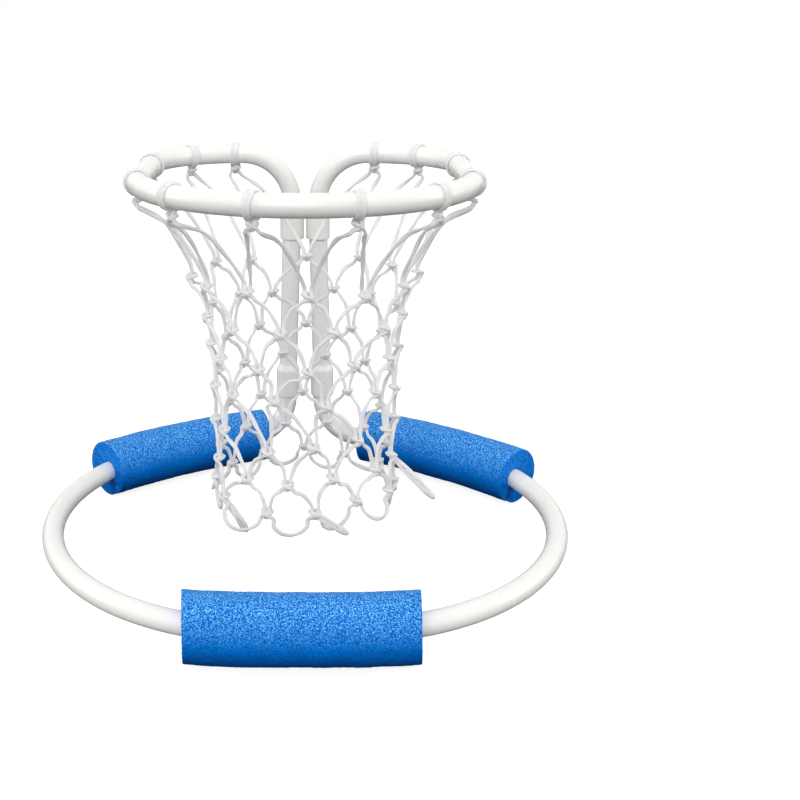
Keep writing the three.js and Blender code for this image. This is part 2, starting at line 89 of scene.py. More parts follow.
def lengths_along(points: np.ndarray) -> np.ndarray:
    """Return each point's distance from the first, measured along the line."""
    return np.concatenate([[0.0], np.cumsum(np.linalg.norm(np.diff(points, axis=0), axis=1))])


def read_at(places: np.ndarray, lengths: np.ndarray, rows: np.ndarray) -> np.ndarray:
    """Return the vectors at places on a line, read between rows that stand at lengths along it."""
    return np.column_stack([np.interp(places, lengths, column) for column in rows.T])


def laid(firsts: np.ndarray, seconds: np.ndarray, flat: np.ndarray) -> np.ndarray:
    """Return flat vectors laid out at each point of a line, on its two axes there."""
    return firsts[:, None] * flat[..., :1] + seconds[:, None] * flat[..., 1:]


def spokes(firsts: np.ndarray, seconds: np.ndarray, angles: np.ndarray) -> np.ndarray:
    """Return the directions at angles in radians round each point of a line, from its two axes there."""
    return laid(firsts, seconds, np.stack([np.cos(angles), np.sin(angles)], axis=-1))


def even_line(points: np.ndarray, spacing: float) -> np.ndarray:
    """Space a line's points evenly.

    Args:
        points: The line's points.
        spacing: The distance wanted between two points.

    Returns:
        The points at even distances, the first and the last kept.
    """
    lengths = lengths_along(points)
    count = max(2, round(lengths[-1] / spacing) + 1)
    return read_at(np.linspace(0.0, lengths[-1], count), lengths, points)


def smooth_line(points: list[np.ndarray], spacing: float, steps: int = 12) -> np.ndarray:
    """Lay a smooth line through points, as a centripetal Catmull-Rom curve.

    Args:
        points: The points in order.
        spacing: The distance between the line's points.
        steps: How finely each stretch is worked out.

    Returns:
        The points of the line, evenly spaced, from the first point to the last.
    """
    knots = np.array(points)
    ahead = np.vstack([2 * knots[0] - knots[1], knots, 2 * knots[-1] - knots[-2]])
    gaps = np.maximum(np.sqrt(np.linalg.norm(np.diff(ahead, axis=0), axis=1)), TINY)
    times = np.concatenate([[0.0], np.cumsum(gaps)])
    fine = []
    for i in range(1, len(ahead) - 2):
        t = np.linspace(times[i], times[i + 1], steps, endpoint=False)[:, None]
        level, k = list(ahead[i - 1 : i + 3]), times[i - 1 : i + 3]
        for low, high, count in ((0, 1, 3), (0, 2, 2), (1, 2, 1)):
            shares = [(t - k[j + low]) / (k[j + high] - k[j + low]) for j in range(count)]
            level = [level[j] * (1 - share) + level[j + 1] * share for j, share in enumerate(shares)]
        fine.append(level[0])
    return even_line(np.vstack([*fine, knots[-1:]]), spacing)


@dataclass
class Route:
    """A line in space that carries two axes which don't twist round it.

    Attributes:
        points: The line's points.
        across: A direction square to the start of the line, to which the first axis is set.
    """

    points: np.ndarray
    across: np.ndarray
    tangents: np.ndarray = field(init=False)
    firsts: np.ndarray = field(init=False)
    seconds: np.ndarray = field(init=False)
    lengths: np.ndarray = field(init=False)

    def __post_init__(self) -> None:
        """Carry the axes along the line by double reflection."""
        ways = unit(np.diff(self.points, axis=0))
        self.lengths = lengths_along(self.points)
        self.tangents = np.vstack([ways[:1], unit(ways[:-1] + ways[1:]), ways[-1:]])
        firsts = [unit(self.across - self.tangents[0] * (self.across @ self.tangents[0]))]
        for way, before, tangent in zip(ways, self.tangents, self.tangents[1:]):
            moved = firsts[-1] - 2 * way * (way @ firsts[-1])
            turn = tangent - before + 2 * way * (way @ before)
            if turn @ turn > TINY:
                moved = moved - turn * (2 * (turn @ moved) / (turn @ turn))
            firsts.append(unit(moved - tangent * (moved @ tangent)))
        self.firsts = np.array(firsts)
        self.seconds = np.cross(self.tangents, self.firsts)

    @property
    def length(self) -> float:
        """The length of the line."""
        return float(self.lengths[-1])

    def at(self, places: np.ndarray) -> tuple[np.ndarray, np.ndarray, np.ndarray]:
        """Give the axes at places along the line, which may lie a little past its ends.

        Args:
            places: Distances from the start.

        Returns:
            The points, the first axes and the second axes there.
        """
        inside = np.clip(places, 0.0, self.length)
        points, tangents, firsts = (
            read_at(inside, self.lengths, rows) for rows in (self.points, self.tangents, self.firsts)
        )
        firsts = unit(firsts)
        return points + tangents * (places - inside)[:, None], firsts, unit(np.cross(tangents, firsts))


@dataclass
class MeshMaker:
    """Gathers grids of faces and writes them as one mesh."""

    points: list[np.ndarray] = field(default_factory=list)
    quads: list[np.ndarray] = field(default_factory=list)
    places: list[np.ndarray] = field(default_factory=list)
    count: int = 0

    def grid(
        self,
        rows: np.ndarray,
        around: np.ndarray,
        along: np.ndarray,
        round_: bool = True,
        closed: bool = False,
    ) -> None:
        """Add a grid of faces.

        Args:
            rows: Points as rows by columns by three.
            around: The surface's first coordinate for each column, with one more where the grid is round.
            along: Its second coordinate for each row, as a column, with one more where the grid is closed.
            round_: Whether the last column joins the first.
            closed: Whether the last row joins the first.
        """
        high, wide = rows.shape[:2]
        places = np.stack(np.broadcast_arrays(around, along), axis=-1)
        down, over = np.arange(high if closed else high - 1), np.arange(wide if round_ else wide - 1)
        r, c = np.meshgrid(down, over, indexing="ij")
        below, right = (r + 1) % high, (c + 1) % wide
        ids = np.stack([r * wide + c, r * wide + right, below * wide + right, below * wide + c], axis=-1)
        corners = np.stack([places[r, c], places[r, c + 1], places[r + 1, c + 1], places[r + 1, c]], axis=-2)
        self.points.append(rows.reshape(-1, 3))
        self.quads.append(ids.reshape(-1, 4) + self.count)
        self.places.append(corners.reshape(-1, 2))
        self.count += high * wide

    def build(self, name: str) -> bpy.types.Object:
        """Write the mesh in metres, with points that coincide merged and its faces turned outwards.

        Args:
            name: The object's name.

        Returns:
            The object, linked to the scene and shaded smooth.
        """
        points, quads = np.vstack(self.points), np.vstack(self.quads)
        mesh = bpy.data.meshes.new(name)
        mesh.vertices.add(len(points))
        mesh.vertices.foreach_set("co", (points * MM).astype(np.float32).ravel())
        mesh.loops.add(quads.size)
        mesh.loops.foreach_set("vertex_index", quads.astype(np.int32).ravel())
        mesh.polygons.add(len(quads))
        mesh.polygons.foreach_set("loop_start", np.arange(0, quads.size, 4, dtype=np.int32))
        layer = mesh.uv_layers.new(name="surface")
        mesh.update(calc_edges=True)
        layer.data.foreach_set("uv", np.vstack(self.places).astype(np.float32).ravel())
        mesh.polygons.foreach_set("use_smooth", np.ones(len(quads), dtype=bool))
        mesh.validate(clean_customdata=False)
        skin = bmesh.new()
        skin.from_mesh(mesh)
        bmesh.ops.remove_doubles(skin, verts=skin.verts, dist=MERGE_MM * MM)
        bmesh.ops.recalc_face_normals(skin, faces=skin.faces)
        skin.to_mesh(mesh)
        skin.free()
        piece = bpy.data.objects.new(name, mesh)
        bpy.context.scene.collection.objects.link(piece)
        return piece


def waves(points: np.ndarray, length: float, seed: int, count: int = 28) -> np.ndarray:
    """Give an even, random field of waves.

    Args:
        points: Where the field is wanted.
        length: The waves' length.
        seed: The number that the random waves start from.
        count: How many waves are laid over each other.

    Returns:
        The field's height at each point, mostly between -1 and 1.
    """
    random = np.random.default_rng(seed)
    ways = unit(random.normal(size=(count, 3))) * (FULL_TURN / length)
    ways = ways * random.uniform(*WAVE_SPREAD, (count, 1))
    phases = random.uniform(0, FULL_TURN, count)
    return np.sin(points @ ways.T + phases).sum(axis=-1) * math.sqrt(2 / count)


def arc(centre: tuple[float, float], radius: float, start: float, end: float, steps: int) -> Pairs:
    """Return points on a flat arc from one angle in degrees to another, both ends included."""
    angles = [math.radians(start + (end - start) * i / steps) for i in range(steps + 1)]
    return [(centre[0] + radius * math.cos(a), centre[1] + radius * math.sin(a)) for a in angles]


# Material tools


def linear(colour: str) -> tuple[float, float, float, float]:
    """Turn an sRGB hex colour to linear light.

    Args:
        colour: Six hex digits after a hash.

    Returns:
        Red, green, blue and alpha for a shader.
    """
    parts = [int(colour[i : i + 2], 16) / 255 for i in (1, 3, 5)]
    light = [p / 12.92 if p <= 0.04045 else ((p + 0.055) / 1.055) ** 2.4 for p in parts]
    return (light[0], light[1], light[2], 1.0)


def add_node(
    tree: bpy.types.NodeTree, kind: str, inputs: dict[str | int, object] | None = None, **settings: object
) -> bpy.types.Node:
    """Add a node with its settings and links.

    Args:
        tree: The tree that gets the node.
        kind: Blender's name for the node.
        inputs: What each named or numbered input gets: a value, a socket, or a node for its first output.
        **settings: The node's own properties.

    Returns:
        The node.
    """
    node = tree.nodes.new(kind)
    for key, value in settings.items():
        setattr(node, key, value)
    for key, value in (inputs or {}).items():
        source = value.outputs[0] if isinstance(value, bpy.types.Node) else value
        if isinstance(source, bpy.types.NodeSocket):
            tree.links.new(source, node.inputs[key])
        else:
            node.inputs[key].default_value = source
    return node


def blend(
    tree: bpy.types.NodeTree, share: bpy.types.Node, low: Colour, high: Colour
) -> bpy.types.NodeSocket:
    """Mix two colours by a pattern.

    Args:
        tree: The material's tree.
        share: The node of the pattern, from 0 to 1.
        low: The colour at 0, as hex or as a socket.
        high: The colour at 1.

    Returns:
        The mixed colour's socket.
    """
    mix = add_node(tree, "ShaderNodeMix", {"Factor": share}, data_type="RGBA")
    ends = [socket for socket in mix.inputs if socket.type == "RGBA"]
    for socket, colour in zip(ends, (low, high)):
        if isinstance(colour, str):
            socket.default_value = linear(colour)
        else:
            tree.links.new(colour, socket)
    return next(socket for socket in mix.outputs if socket.type == "RGBA")


# Finishes


@dataclass(frozen=True)
class Finish(ABC):
    """What every finish has: a name, the slot of the record that it stands for, and a shader."""

    name: str
    slot: str = ""

    @abstractmethod
    def surface(self, tree: bpy.types.NodeTree) -> bpy.types.Node:
        """Return the last node of the shader that this finish builds in a tree."""

    def make(self) -> bpy.types.Material:
        """Build the material.

        Returns:
            The material, with the finish's name.
        """
        material = bpy.data.materials.new(self.name)
        material.use_nodes = True
        material.node_tree.nodes.clear()
        surface = self.surface(material.node_tree)
        add_node(material.node_tree, "ShaderNodeOutputMaterial", {"Surface": surface})
        return material


@dataclass(frozen=True)
class ExtrudedPvc(Finish):
    """Rigid white PVC tube, extruded through a polished die and belled while hot.

    It gives the eye a satin gloss with a soft highlight along the tube, faint die lines along its length and
    a few rubbed patches that are duller than the rest.
    """

    name: str = "extruded_white_pvc"
    slot: str = "white_tube"
    body: str = "#F2F1EE"
    cloud: str = "#EBEAE6"
    ior: float = 1.53
    gloss: float = 0.27
    rubbed: float = 0.42
    rubbed_from: float = 0.52
    rubbed_to: float = 0.75
    cloud_mm: float = 38.0
    die_line_mm: float = 1.1
    die_line_run_mm: float = 240.0
    die_line_depth_mm: float = 0.02
    peel_mm: float = 3.2
    peel_depth_mm: float = 0.012

    def surface(self, tree: bpy.types.NodeTree) -> bpy.types.Node:
        """Build the shader.

        Args:
            tree: The tree that gets its nodes.

        Returns:
            Its last node.
        """
        node = partial(add_node, tree)
        place = node("ShaderNodeTexCoord").outputs
        clouds, peel = (
            node("ShaderNodeTexNoise", {"Vector": place["Object"], "Scale": 1 / (size * MM), "Detail": fine})
            for size, fine in ((self.cloud_mm, 3.0), (self.peel_mm, 1.0))
        )
        rubs = {"From Min": self.rubbed_from, "From Max": self.rubbed_to, "To Min": self.gloss}
        rough = node("ShaderNodeMapRange", {"Value": clouds, **rubs, "To Max": self.rubbed})
        lines_scale = (1 / self.die_line_mm, 1 / self.die_line_run_mm, 1.0)
        lines_at = node("ShaderNodeMapping", {"Vector": place["UV"], "Scale": lines_scale})
        lines = node("ShaderNodeTexNoise", {"Vector": lines_at, "Scale": 1.0, "Detail": 2.0})
        low = node("ShaderNodeBump", {"Height": peel, "Distance": self.peel_depth_mm * MM})
        depth = self.die_line_depth_mm * MM
        inputs = {
            "Base Color": blend(tree, clouds, self.body, self.cloud),
            "Roughness": rough,
            "IOR": self.ior,
            "Normal": node("ShaderNodeBump", {"Height": lines, "Distance": depth, "Normal": low}),
        }
        return node("ShaderNodeBsdfPrincipled", inputs)


@dataclass(frozen=True)
class ClosedCellFoam(Finish):
    """Blown polyethylene foam, extruded as a round sleeve and cut to length.

    The skin is a mosaic of small closed cells. A painted shade in dark blue fills the pits between them,
    and a painted highlight in a paler blue lies on the cell edges of faces that look up; painted shade also
    turns the underside a plain dark blue. Each range says where a part of the pattern starts and is full:
    pits and painted highlights by the noise of the cells, the other two by how far a face looks up.
    """

    name: str = "blue_polyethylene_foam"
    slot: str = "blue_foam"
    # Painted shade colour: it fills the pits between the cells and the underside.
    painted_shade: str = "#004D9E"
    body: str = "#0077DA"
    # Painted highlight colour, for the cell edges on faces that look up.
    painted_highlight: str = "#86CEF6"
    ior: float = 1.5
    specular: float = 0.06
    roughness: float = 0.6
    cell_mm: float = 1.15
    cell_detail: float = 1.5
    cell_roughness: float = 0.6
    cell_depth_mm: float = 0.35
    pit_range: tuple[float, float] = (0.36, 0.48)
    highlight_cell_range: tuple[float, float] = (0.52, 0.61)
    painted_highlight_share: float = 0.92
    highlight_facing_range: tuple[float, float] = (-0.05, 0.8)
    shade_facing_range: tuple[float, float] = (-0.7, 0.0)

    def surface(self, tree: bpy.types.NodeTree) -> bpy.types.Node:
        """Build the shader.

        Args:
            tree: The tree that gets its nodes.

        Returns:
            Its last node.
        """
        node = partial(add_node, tree)
        place = node("ShaderNodeTexCoord").outputs["Object"]
        grain = {"Detail": self.cell_detail, "Roughness": self.cell_roughness}
        cells = node("ShaderNodeTexNoise", {"Vector": place, "Scale": 1 / (self.cell_mm * MM), **grain})
        facing = node("ShaderNodeNewGeometry").outputs["Normal"]
        upward = node("ShaderNodeSeparateXYZ", {0: facing}).outputs["Z"]
        # Painted highlight: the paler blue goes on the cell edges of faces that look up, as light from above
        # would fall.
        tops, walls, highlight_facing, shade_facing = (
            node("ShaderNodeMapRange", {"Value": value, "From Min": low, "From Max": high, "To Max": most})
            for value, (low, high), most in (
                (cells, self.pit_range, 1.0),
                (cells, self.highlight_cell_range, 1.0),
                (upward, self.highlight_facing_range, self.painted_highlight_share),
                (upward, self.shade_facing_range, 1.0),
            )
        )
        # Painted shade: the dark blue fills the pits between the cells and turns faces that look down a plain
        # dark blue.
        unshaded_share, share = (
            node("ShaderNodeMath", {0: cell, 1: face}, operation="MULTIPLY")
            for cell, face in ((tops, shade_facing), (walls, highlight_facing))
        )
        inputs = {
            "Base Color": blend(tree, share, blend(tree, unshaded_share, self.painted_shade, self.body), self.painted_highlight),
            "Roughness": self.roughness,
            "IOR": self.ior,
            "Specular IOR Level": self.specular,
            "Normal": node("ShaderNodeBump", {"Height": cells, "Distance": self.cell_depth_mm * MM}),
        }
        return node("ShaderNodeBsdfPrincipled", inputs)


@dataclass(frozen=True)
class BraidedCord(Finish):
    """White polyester cord, braided round and flattened by use.

    It gives the eye a soft sheen, with slanted plaits that show as fine dimples, and light that falls
    through it. The hollows between the plaits carry a painted shade, a touch greyer than the yarn. The
    plaits are drawn a little coarser than real ones, so that they show.
    """

    name: str = "white_braided_polyester"
    slot: str = "net_cord"
    yarn: str = "#FDFDFD"
    # Painted shade for the hollows between the plaits.
    gap: str = "#F3F2F2"
    ior: float = 1.5
    roughness: float = 0.62
    sheen: float = 0.25
    glow_through: float = 0.42
    plait_mm: float = 2.6
    plaits_round: float = 5.0
    plait_foot: float = -0.6
    plait_depth_mm: float = 0.08

    def surface(self, tree: bpy.types.NodeTree) -> bpy.types.Node:
        """Build the shader.

        Args:
            tree: The tree that gets its nodes.

        Returns:
            Its last node.
        """
        node = partial(add_node, tree)
        math_node = partial(node, "ShaderNodeMath")
        split = node("ShaderNodeSeparateXYZ", {"Vector": node("ShaderNodeTexCoord").outputs["UV"]}).outputs
        along = math_node({0: split["Y"], 1: FULL_TURN / self.plait_mm}, operation="MULTIPLY")
        around = math_node({0: split["X"], 1: FULL_TURN * self.plaits_round}, operation="MULTIPLY")
        slants = [math_node({0: along, 1: around}, operation=way) for way in ("ADD", "SUBTRACT")]
        plaits = [math_node({0: slant}, operation="SINE") for slant in slants]
        top = math_node(dict(enumerate(plaits)), operation="MAXIMUM")
        height = node("ShaderNodeMapRange", {"Value": top, "From Min": self.plait_foot, "From Max": 1.0})
        # The hollows of the plaits are painted a shade greyer than the yarn: painted shade.
        inputs = {
            "Base Color": blend(tree, height, self.gap, self.yarn),
            "Roughness": self.roughness,
            "IOR": self.ior,
            "Sheen Weight": self.sheen,
            "Normal": node("ShaderNodeBump", {"Height": height, "Distance": self.plait_depth_mm * MM}),
        }
        shader = node("ShaderNodeBsdfPrincipled", inputs)
        through = node("ShaderNodeBsdfTranslucent", {"Color": linear(self.yarn)})
        return node("ShaderNodeMixShader", {0: self.glow_through, 1: shader, 2: through})


@dataclass(frozen=True)
class StudioPaper(Finish):
    """White background paper. The camera sees it near white; what it throws back on the hoop is softer."""

    name: str = "studio_paper"
    seen: str = "#FFFFFF"
    thrown: str = "#4E4943"
    glow: float = 0.82
    shade: float = 0.42

    def surface(self, tree: bpy.types.NodeTree) -> bpy.types.Node:
        """Build the shader.

        Args:
            tree: The tree that gets its nodes.

        Returns:
            Its last node.
        """
        node = partial(add_node, tree)
        rays = node("ShaderNodeLightPath").outputs["Is Camera Ray"]
        paper = node("ShaderNodeBsdfDiffuse", {"Color": (self.shade, self.shade, self.shade, 1.0)})
        light = node("ShaderNodeEmission", {"Color": linear(self.seen), "Strength": self.glow})
        seen = node("ShaderNodeAddShader", {0: paper, 1: light})
        thrown = node("ShaderNodeBsdfDiffuse", {"Color": linear(self.thrown)})
        return node("ShaderNodeMixShader", {0: rays, 1: thrown, 2: seen})


# Sizes of the hoop


@dataclass(frozen=True)
class HoopSizes:
    """The hoop's driving sizes in millimetres, and angles in degrees, as its model has them."""

    tube_diameter: float = 21.34
    tube_wall: float = 2.4
    seam_gap: float = 0.3
    socket_clearance: float = 1.0
    bell_wall: float = 2.1
    bell_lip: float = 1.2
    bell_neck: float = 6.0
    foot_socket_depth: float = 35.0
    rim_socket_depth: float = 38.0
    ring_radius: float = 231.0
    ring_end_angle: float = 79.4
    foot_bend_radius: float = 50.0
    foot_half_spacing: float = 20.9
    spigot_length: float = 30.0
    spigot_root: float = 12.0
    spigot_wall: float = 2.0
    foot_socket_mouth_height: float = 85.0
    post_top_half_spacing: float = 15.1
    rim_height: float = 377.0
    rim_half_width: float = 161.5
    rim_reach: float = 365.8
    rim_back_half_width: float = 69.5
    rim_leg_heading: float = 5.0
    rim_leg_bend_radius: float = 57.0
    rim_leg_straight_length: float = 3.4
    float_diameter: float = 64.0
    float_bore_clearance: float = 0.6
    float_slit_width: float = 9.0
    float_slit_angle: float = 24.0
    float_bow_share: float = 0.4
    float_setback_share: float = 0.33
    front_float_half_angle: float = 17.9
    left_float_start_angle: float = 31.3
    right_float_start_angle: float = 25.2
    rear_float_span_angle: float = 53.7

    @property
    def tube_radius(self) -> float:
        """Outer radius of the tube."""
        return self.tube_diameter / 2

    @property
    def bore_radius(self) -> float:
        """Inner radius of the tube."""
        return self.tube_radius - self.tube_wall

    @property
    def socket_radius(self) -> float:
        """Inner radius of a bell."""
        return self.tube_radius + self.socket_clearance

    @property
    def bell_radius(self) -> float:
        """Outer radius of a bell."""
        return self.socket_radius + self.bell_wall

    @property
    def float_radius(self) -> float:
        """Outer radius of a float."""
        return self.float_diameter / 2

    @property
    def float_bore_radius(self) -> float:
        """Inner radius of a float."""
        return self.tube_radius + self.float_bore_clearance

    @property
    def shift_y(self) -> float:
        """How far the ring's centre stands behind the origin: it follows from the front float's box."""
        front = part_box("front_float")[0][1] / MM + self.ring_radius
        bow = self.ring_radius * (1 - math.cos(math.radians(self.front_float_half_angle)))
        return front - bow * self.float_setback_share + self.float_radius

    @property
    def leg_y(self) -> float:
        """Where the feet and legs stand, measured from the ring's centre."""
        end = math.radians(self.ring_end_angle)
        return self.ring_radius * math.sin(end) + self.foot_bend_radius * math.cos(end)

    @property
    def ring_straight_half(self) -> float:
        """Half of the ring's straight stretch at the front."""
        end = math.radians(self.ring_end_angle)
        bend_end = self.foot_half_spacing + self.foot_bend_radius * math.sin(end)
        return bend_end - self.ring_radius * math.cos(end)

    @property
    def rim_socket_mouth_height(self) -> float:
        """Height of the mouths of the rim's sockets."""
        top = self.rim_height - self.rim_leg_bend_radius - self.rim_leg_straight_length
        return top - self.rim_socket_depth

    @property
    def foot_socket_middle(self) -> float:
        """Height of the middle of the posts' sockets."""
        return self.foot_socket_mouth_height + self.foot_socket_depth / 2

    @property
    def post_lean(self) -> float:
        """The posts' lean in radians."""
        rise = self.rim_socket_mouth_height + self.rim_socket_depth / 2 - self.foot_socket_middle
        return math.atan2(self.foot_half_spacing - self.post_top_half_spacing, rise)

    @property
    def end_gap(self) -> float:
        """How far a tube's end stays short of its socket's floor: a seam, and what a lean lifts its edge."""
        return self.seam_gap + self.tube_radius * math.sin(self.post_lean)

    @property
    def post_length(self) -> float:
        """Length of a post from its mouth to its top."""
        top = self.rim_socket_mouth_height + self.rim_socket_depth - self.end_gap
        return (top - self.foot_socket_middle) / math.cos(self.post_lean) + self.foot_socket_depth / 2

    def placed(self, points: np.ndarray) -> np.ndarray:
        """Move points from the ring's centre to the model's frame."""
        return points + np.array([0.0, self.shift_y, 0.0])

    def ring_point(self, side: Side, angle: float) -> np.ndarray:
        """Give a point of the ring's centre line.

        Args:
            side: The side of the ring.
            angle: Degrees from the ring's widest point, towards the back.

        Returns:
            The point.
        """
        turn = math.radians(angle)
        x = self.ring_straight_half + self.ring_radius * math.cos(turn)
        return np.array([side.value * x, self.ring_radius * math.sin(turn), self.float_radius])

    def ring_arc(self, side: Side, start: float, end: float, step: float = 0.5) -> np.ndarray:
        """Return points along the ring's centre line between two angles, at most a step in degrees apart."""
        count = max(2, math.ceil(abs(end - start) / step) + 1)
        return np.array([self.ring_point(side, angle) for angle in np.linspace(start, end, count)])

    def rim_half(self, front: int = 90, side: int = 5, corner: int = 60, back: int = 4) -> np.ndarray:
        """Give the rim's centre line on the right.

        Args:
            front: How many steps the round front has.
            side: How many steps the straight side has.
            corner: How many steps the back corner has.
            back: How many steps the straight back has.

        Returns:
            Its points, from the middle of the front to the start of the leg's bend.
        """
        heading = math.radians(self.rim_leg_heading)
        corner_radius = self.rim_half_width - self.rim_back_half_width
        front_y = self.leg_y - self.rim_reach + self.rim_half_width
        end_x = self.rim_back_half_width + corner_radius * math.sin(heading)
        straight = (end_x - self.post_top_half_spacing) / math.cos(heading) - self.rim_leg_bend_radius
        end_y = self.leg_y - (straight + self.rim_leg_bend_radius) * math.sin(heading)
        corner_y = end_y - corner_radius * math.cos(heading)
        turn = 90 - self.rim_leg_heading
        flat = [
            *arc((0.0, front_y), self.rim_half_width, -90, 0, front),
            *[(self.rim_half_width, y) for y in np.linspace(front_y, corner_y, side + 1)[1:]],
            *arc((self.rim_back_half_width, corner_y), corner_radius, 0, turn, corner)[1:],
        ]
        for run in np.linspace(0, straight, back + 1)[1:]:
            flat.append((end_x - math.cos(heading) * run, end_y + math.sin(heading) * run))
        return np.array([[x, y, self.rim_height] for x, y in flat])


# Sub-assemblies


@dataclass
class Assembly:
    """What every sub-assembly has: the hoop's sizes, and a finish of which it makes its material."""

    sizes: HoopSizes
    finish: Finish
    material: bpy.types.Material = field(init=False)

    def __post_init__(self) -> None:
        """Make the material."""
        self.material = self.finish.make()

    def dress(self, piece: bpy.types.Object, body: str, node: str) -> None:
        """Give a piece its finish and body, hide its node, and log how far its box stands from its node's.

        Args:
            piece: The new piece.
            body: The body that it rides on.
            node: The node that it stands for.
        """
        piece.data.materials.append(self.material)
        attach(piece, body)
        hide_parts(node)
        low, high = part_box(node)
        corners = np.array([vertex.co for vertex in piece.data.vertices])
        apart = max(np.abs(corners.min(axis=0) - low).max(), np.abs(corners.max(axis=0) - high).max())
        faces = len(piece.data.polygons)
        LOG.info("%s: %d faces, box within %.1f mm of %s", piece.name, faces, apart / MM, node)


# Tubes


@dataclass
class Tubework(Assembly):
    """The white tubes: ring halves, posts and rim. Profiles are (place along the tube, radius)."""

    edge: float = 0.7
    lip_steps: int = 5
    edge_steps: int = 3
    shoulder_steps: int = 10
    shoulder_run_share: float = 1.5
    socket_floor: float = 1.0
    socket_floor_rise: float = 0.6
    spigot_chamfer: float = 0.5
    ring_step_angle: float = 0.8
    foot_bend_steps: int = 32
    rim_bend_steps: int = 36
    post_points: int = 12
    sides: int = 44
    step: float = 3.0
    rim_step: float = 2.6
    inner_step: float = 9.0
    sharp_angle: float = 50.0

    def bell(self, depth: float) -> tuple[Pairs, Pairs]:
        """Give the profile of a belled end whose mouth is at place 0.

        Args:
            depth: How deep the socket is.

        Returns:
            The outside from the mouth to the plain tube, and the inside from the bore back to the mouth.
        """
        s = self.sizes
        mouth = arc((self.edge, s.socket_radius + self.edge), self.edge, 270, 180, self.edge_steps)
        lip = arc((s.bell_lip, s.bell_radius - s.bell_lip), s.bell_lip, 180, 90, self.lip_steps)
        shoulder = []
        for share in np.linspace(0, 1, self.shoulder_steps + 1):
            ease = (1 + math.cos(math.pi * share)) / 2
            place = depth + s.bell_neck * (self.shoulder_run_share * share - 0.5)
            shoulder.append((place, s.tube_radius + (s.bell_radius - s.tube_radius) * ease))
        rise = s.bore_radius + self.socket_floor_rise
        inside = [(depth + self.socket_floor, s.bore_radius), (depth, rise), (depth, s.socket_radius)]
        return [*mouth, *lip, *shoulder], inside

    def sawn_end(self, place: float) -> Pairs:
        """Give the profile of a tube's far end with its edges eased.

        Args:
            place: Where the end is.

        Returns:
            The points from the outside to the bore.
        """
        s, r = self.sizes, self.edge
        outer = arc((place - r, s.tube_radius - r), r, 90, 0, self.edge_steps)
        return [*outer, *arc((place - r, s.bore_radius + r), r, 360, 270, self.edge_steps)]

    def pipe(
        self,
        name: str,
        body: str,
        node: str,
        route: Route,
        outside: Pairs,
        inside: Pairs,
        step: float | None = None,
    ) -> None:
        """Turn a profile round a route into one closed tube.

        Args:
            name: The piece's name.
            body: The body that it rides on.
            node: The node that it stands for.
            route: The tube's centre line.
            outside: The profile's outside, from the route's start to its end.
            inside: The rest of it, back to the start.
            step: The longest face along the outside, where it isn't the usual one.
        """
        profile = np.array([*outside, *inside])
        rings = []
        for i, (here, there) in enumerate(zip(profile, np.roll(profile, -1, axis=0))):
            longest = self.inner_step if i >= len(outside) - 1 else step or self.step
            count = max(1, math.ceil(abs(there[0] - here[0]) / longest))
            rings.append(np.linspace(here, there, count, endpoint=False))
        places, radii = np.vstack(rings).T
        points, firsts, seconds = route.at(places)
        angles = np.arange(self.sides) * FULL_TURN / self.sides
        rows = points[:, None] + spokes(firsts, seconds, angles) * radii[:, None, None]
        around = np.linspace(0, FULL_TURN * radii.max(), self.sides + 1)
        maker = MeshMaker()
        maker.grid(rows, around, np.append(places, places[0])[:, None], closed=True)
        piece = maker.build(name)
        piece.data.set_sharp_from_angle(angle=math.radians(self.sharp_angle))
        self.dress(piece, body, node)

    def bend(
        self, last: np.ndarray, radius: float, start: np.ndarray, end: np.ndarray, steps: int
    ) -> np.ndarray:
        """Return a quarter turn after a line's last point, between two directions off the turn's centre."""
        turns = np.linspace(0, math.pi / 2, steps + 1)[1:, None]
        return last - radius * start + radius * (start * np.cos(turns) + end * np.sin(turns))

    def ring_half(self, side: Side) -> None:
        """Build half of the base ring with its foot.

        Args:
            side: Which half. The right one has the spigot that joins them.
        """
        s, name = self.sizes, side.name.lower()
        end = math.radians(s.ring_end_angle)
        start = np.array([[side.value * s.seam_gap / 2, -s.ring_radius, s.float_radius]])
        ring = s.ring_arc(side, -90, s.ring_end_angle, self.ring_step_angle)
        heading = np.array([-side.value * math.sin(end), math.cos(end), 0.0])
        bend = self.bend(ring[-1], s.foot_bend_radius, -UP, heading, self.foot_bend_steps)
        foot_top = s.foot_socket_mouth_height + s.foot_socket_depth - s.end_gap
        top = np.array([[side.value * s.foot_half_spacing, s.leg_y, foot_top]])
        route = Route(s.placed(np.vstack([start, ring, bend, top])), UP)
        head = [(0.0, s.bore_radius), (0.0, s.tube_radius - self.edge), (self.edge, s.tube_radius)]
        inside = []
        if side is Side.RIGHT:
            outer = s.bore_radius - s.seam_gap
            inner = outer - s.spigot_wall
            tip, chamfer = -s.spigot_length, self.spigot_chamfer
            head = [(tip, inner), (tip, outer - chamfer), (tip + chamfer, outer), (0.0, outer), *head[1:]]
            inside = [(s.spigot_root, s.bore_radius), (s.spigot_root, inner)]
        outside = [*head, *self.sawn_end(route.length)]
        self.pipe(f"base_{name}_pipe", "base", f"base_{name}_tube", route, outside, inside)

    def post(self, side: Side) -> None:
        """Build a post with its belled foot.

        Args:
            side: The post's side.
        """
        s, body = self.sizes, f"{side.name.lower()}_post"
        lean = -side.value * s.post_lean
        axis = np.array([math.sin(lean), 0.0, math.cos(lean)])
        middle = np.array([side.value * s.foot_half_spacing, s.leg_y, s.foot_socket_middle])
        runs = np.linspace(0, s.post_length, self.post_points) - s.foot_socket_depth / 2
        route = Route(s.placed(middle + axis * runs[:, None]), FRONT)
        outside, inside = self.bell(s.foot_socket_depth)
        self.pipe(f"{body}_pipe", body, body, route, [*outside, *self.sawn_end(s.post_length)], inside)

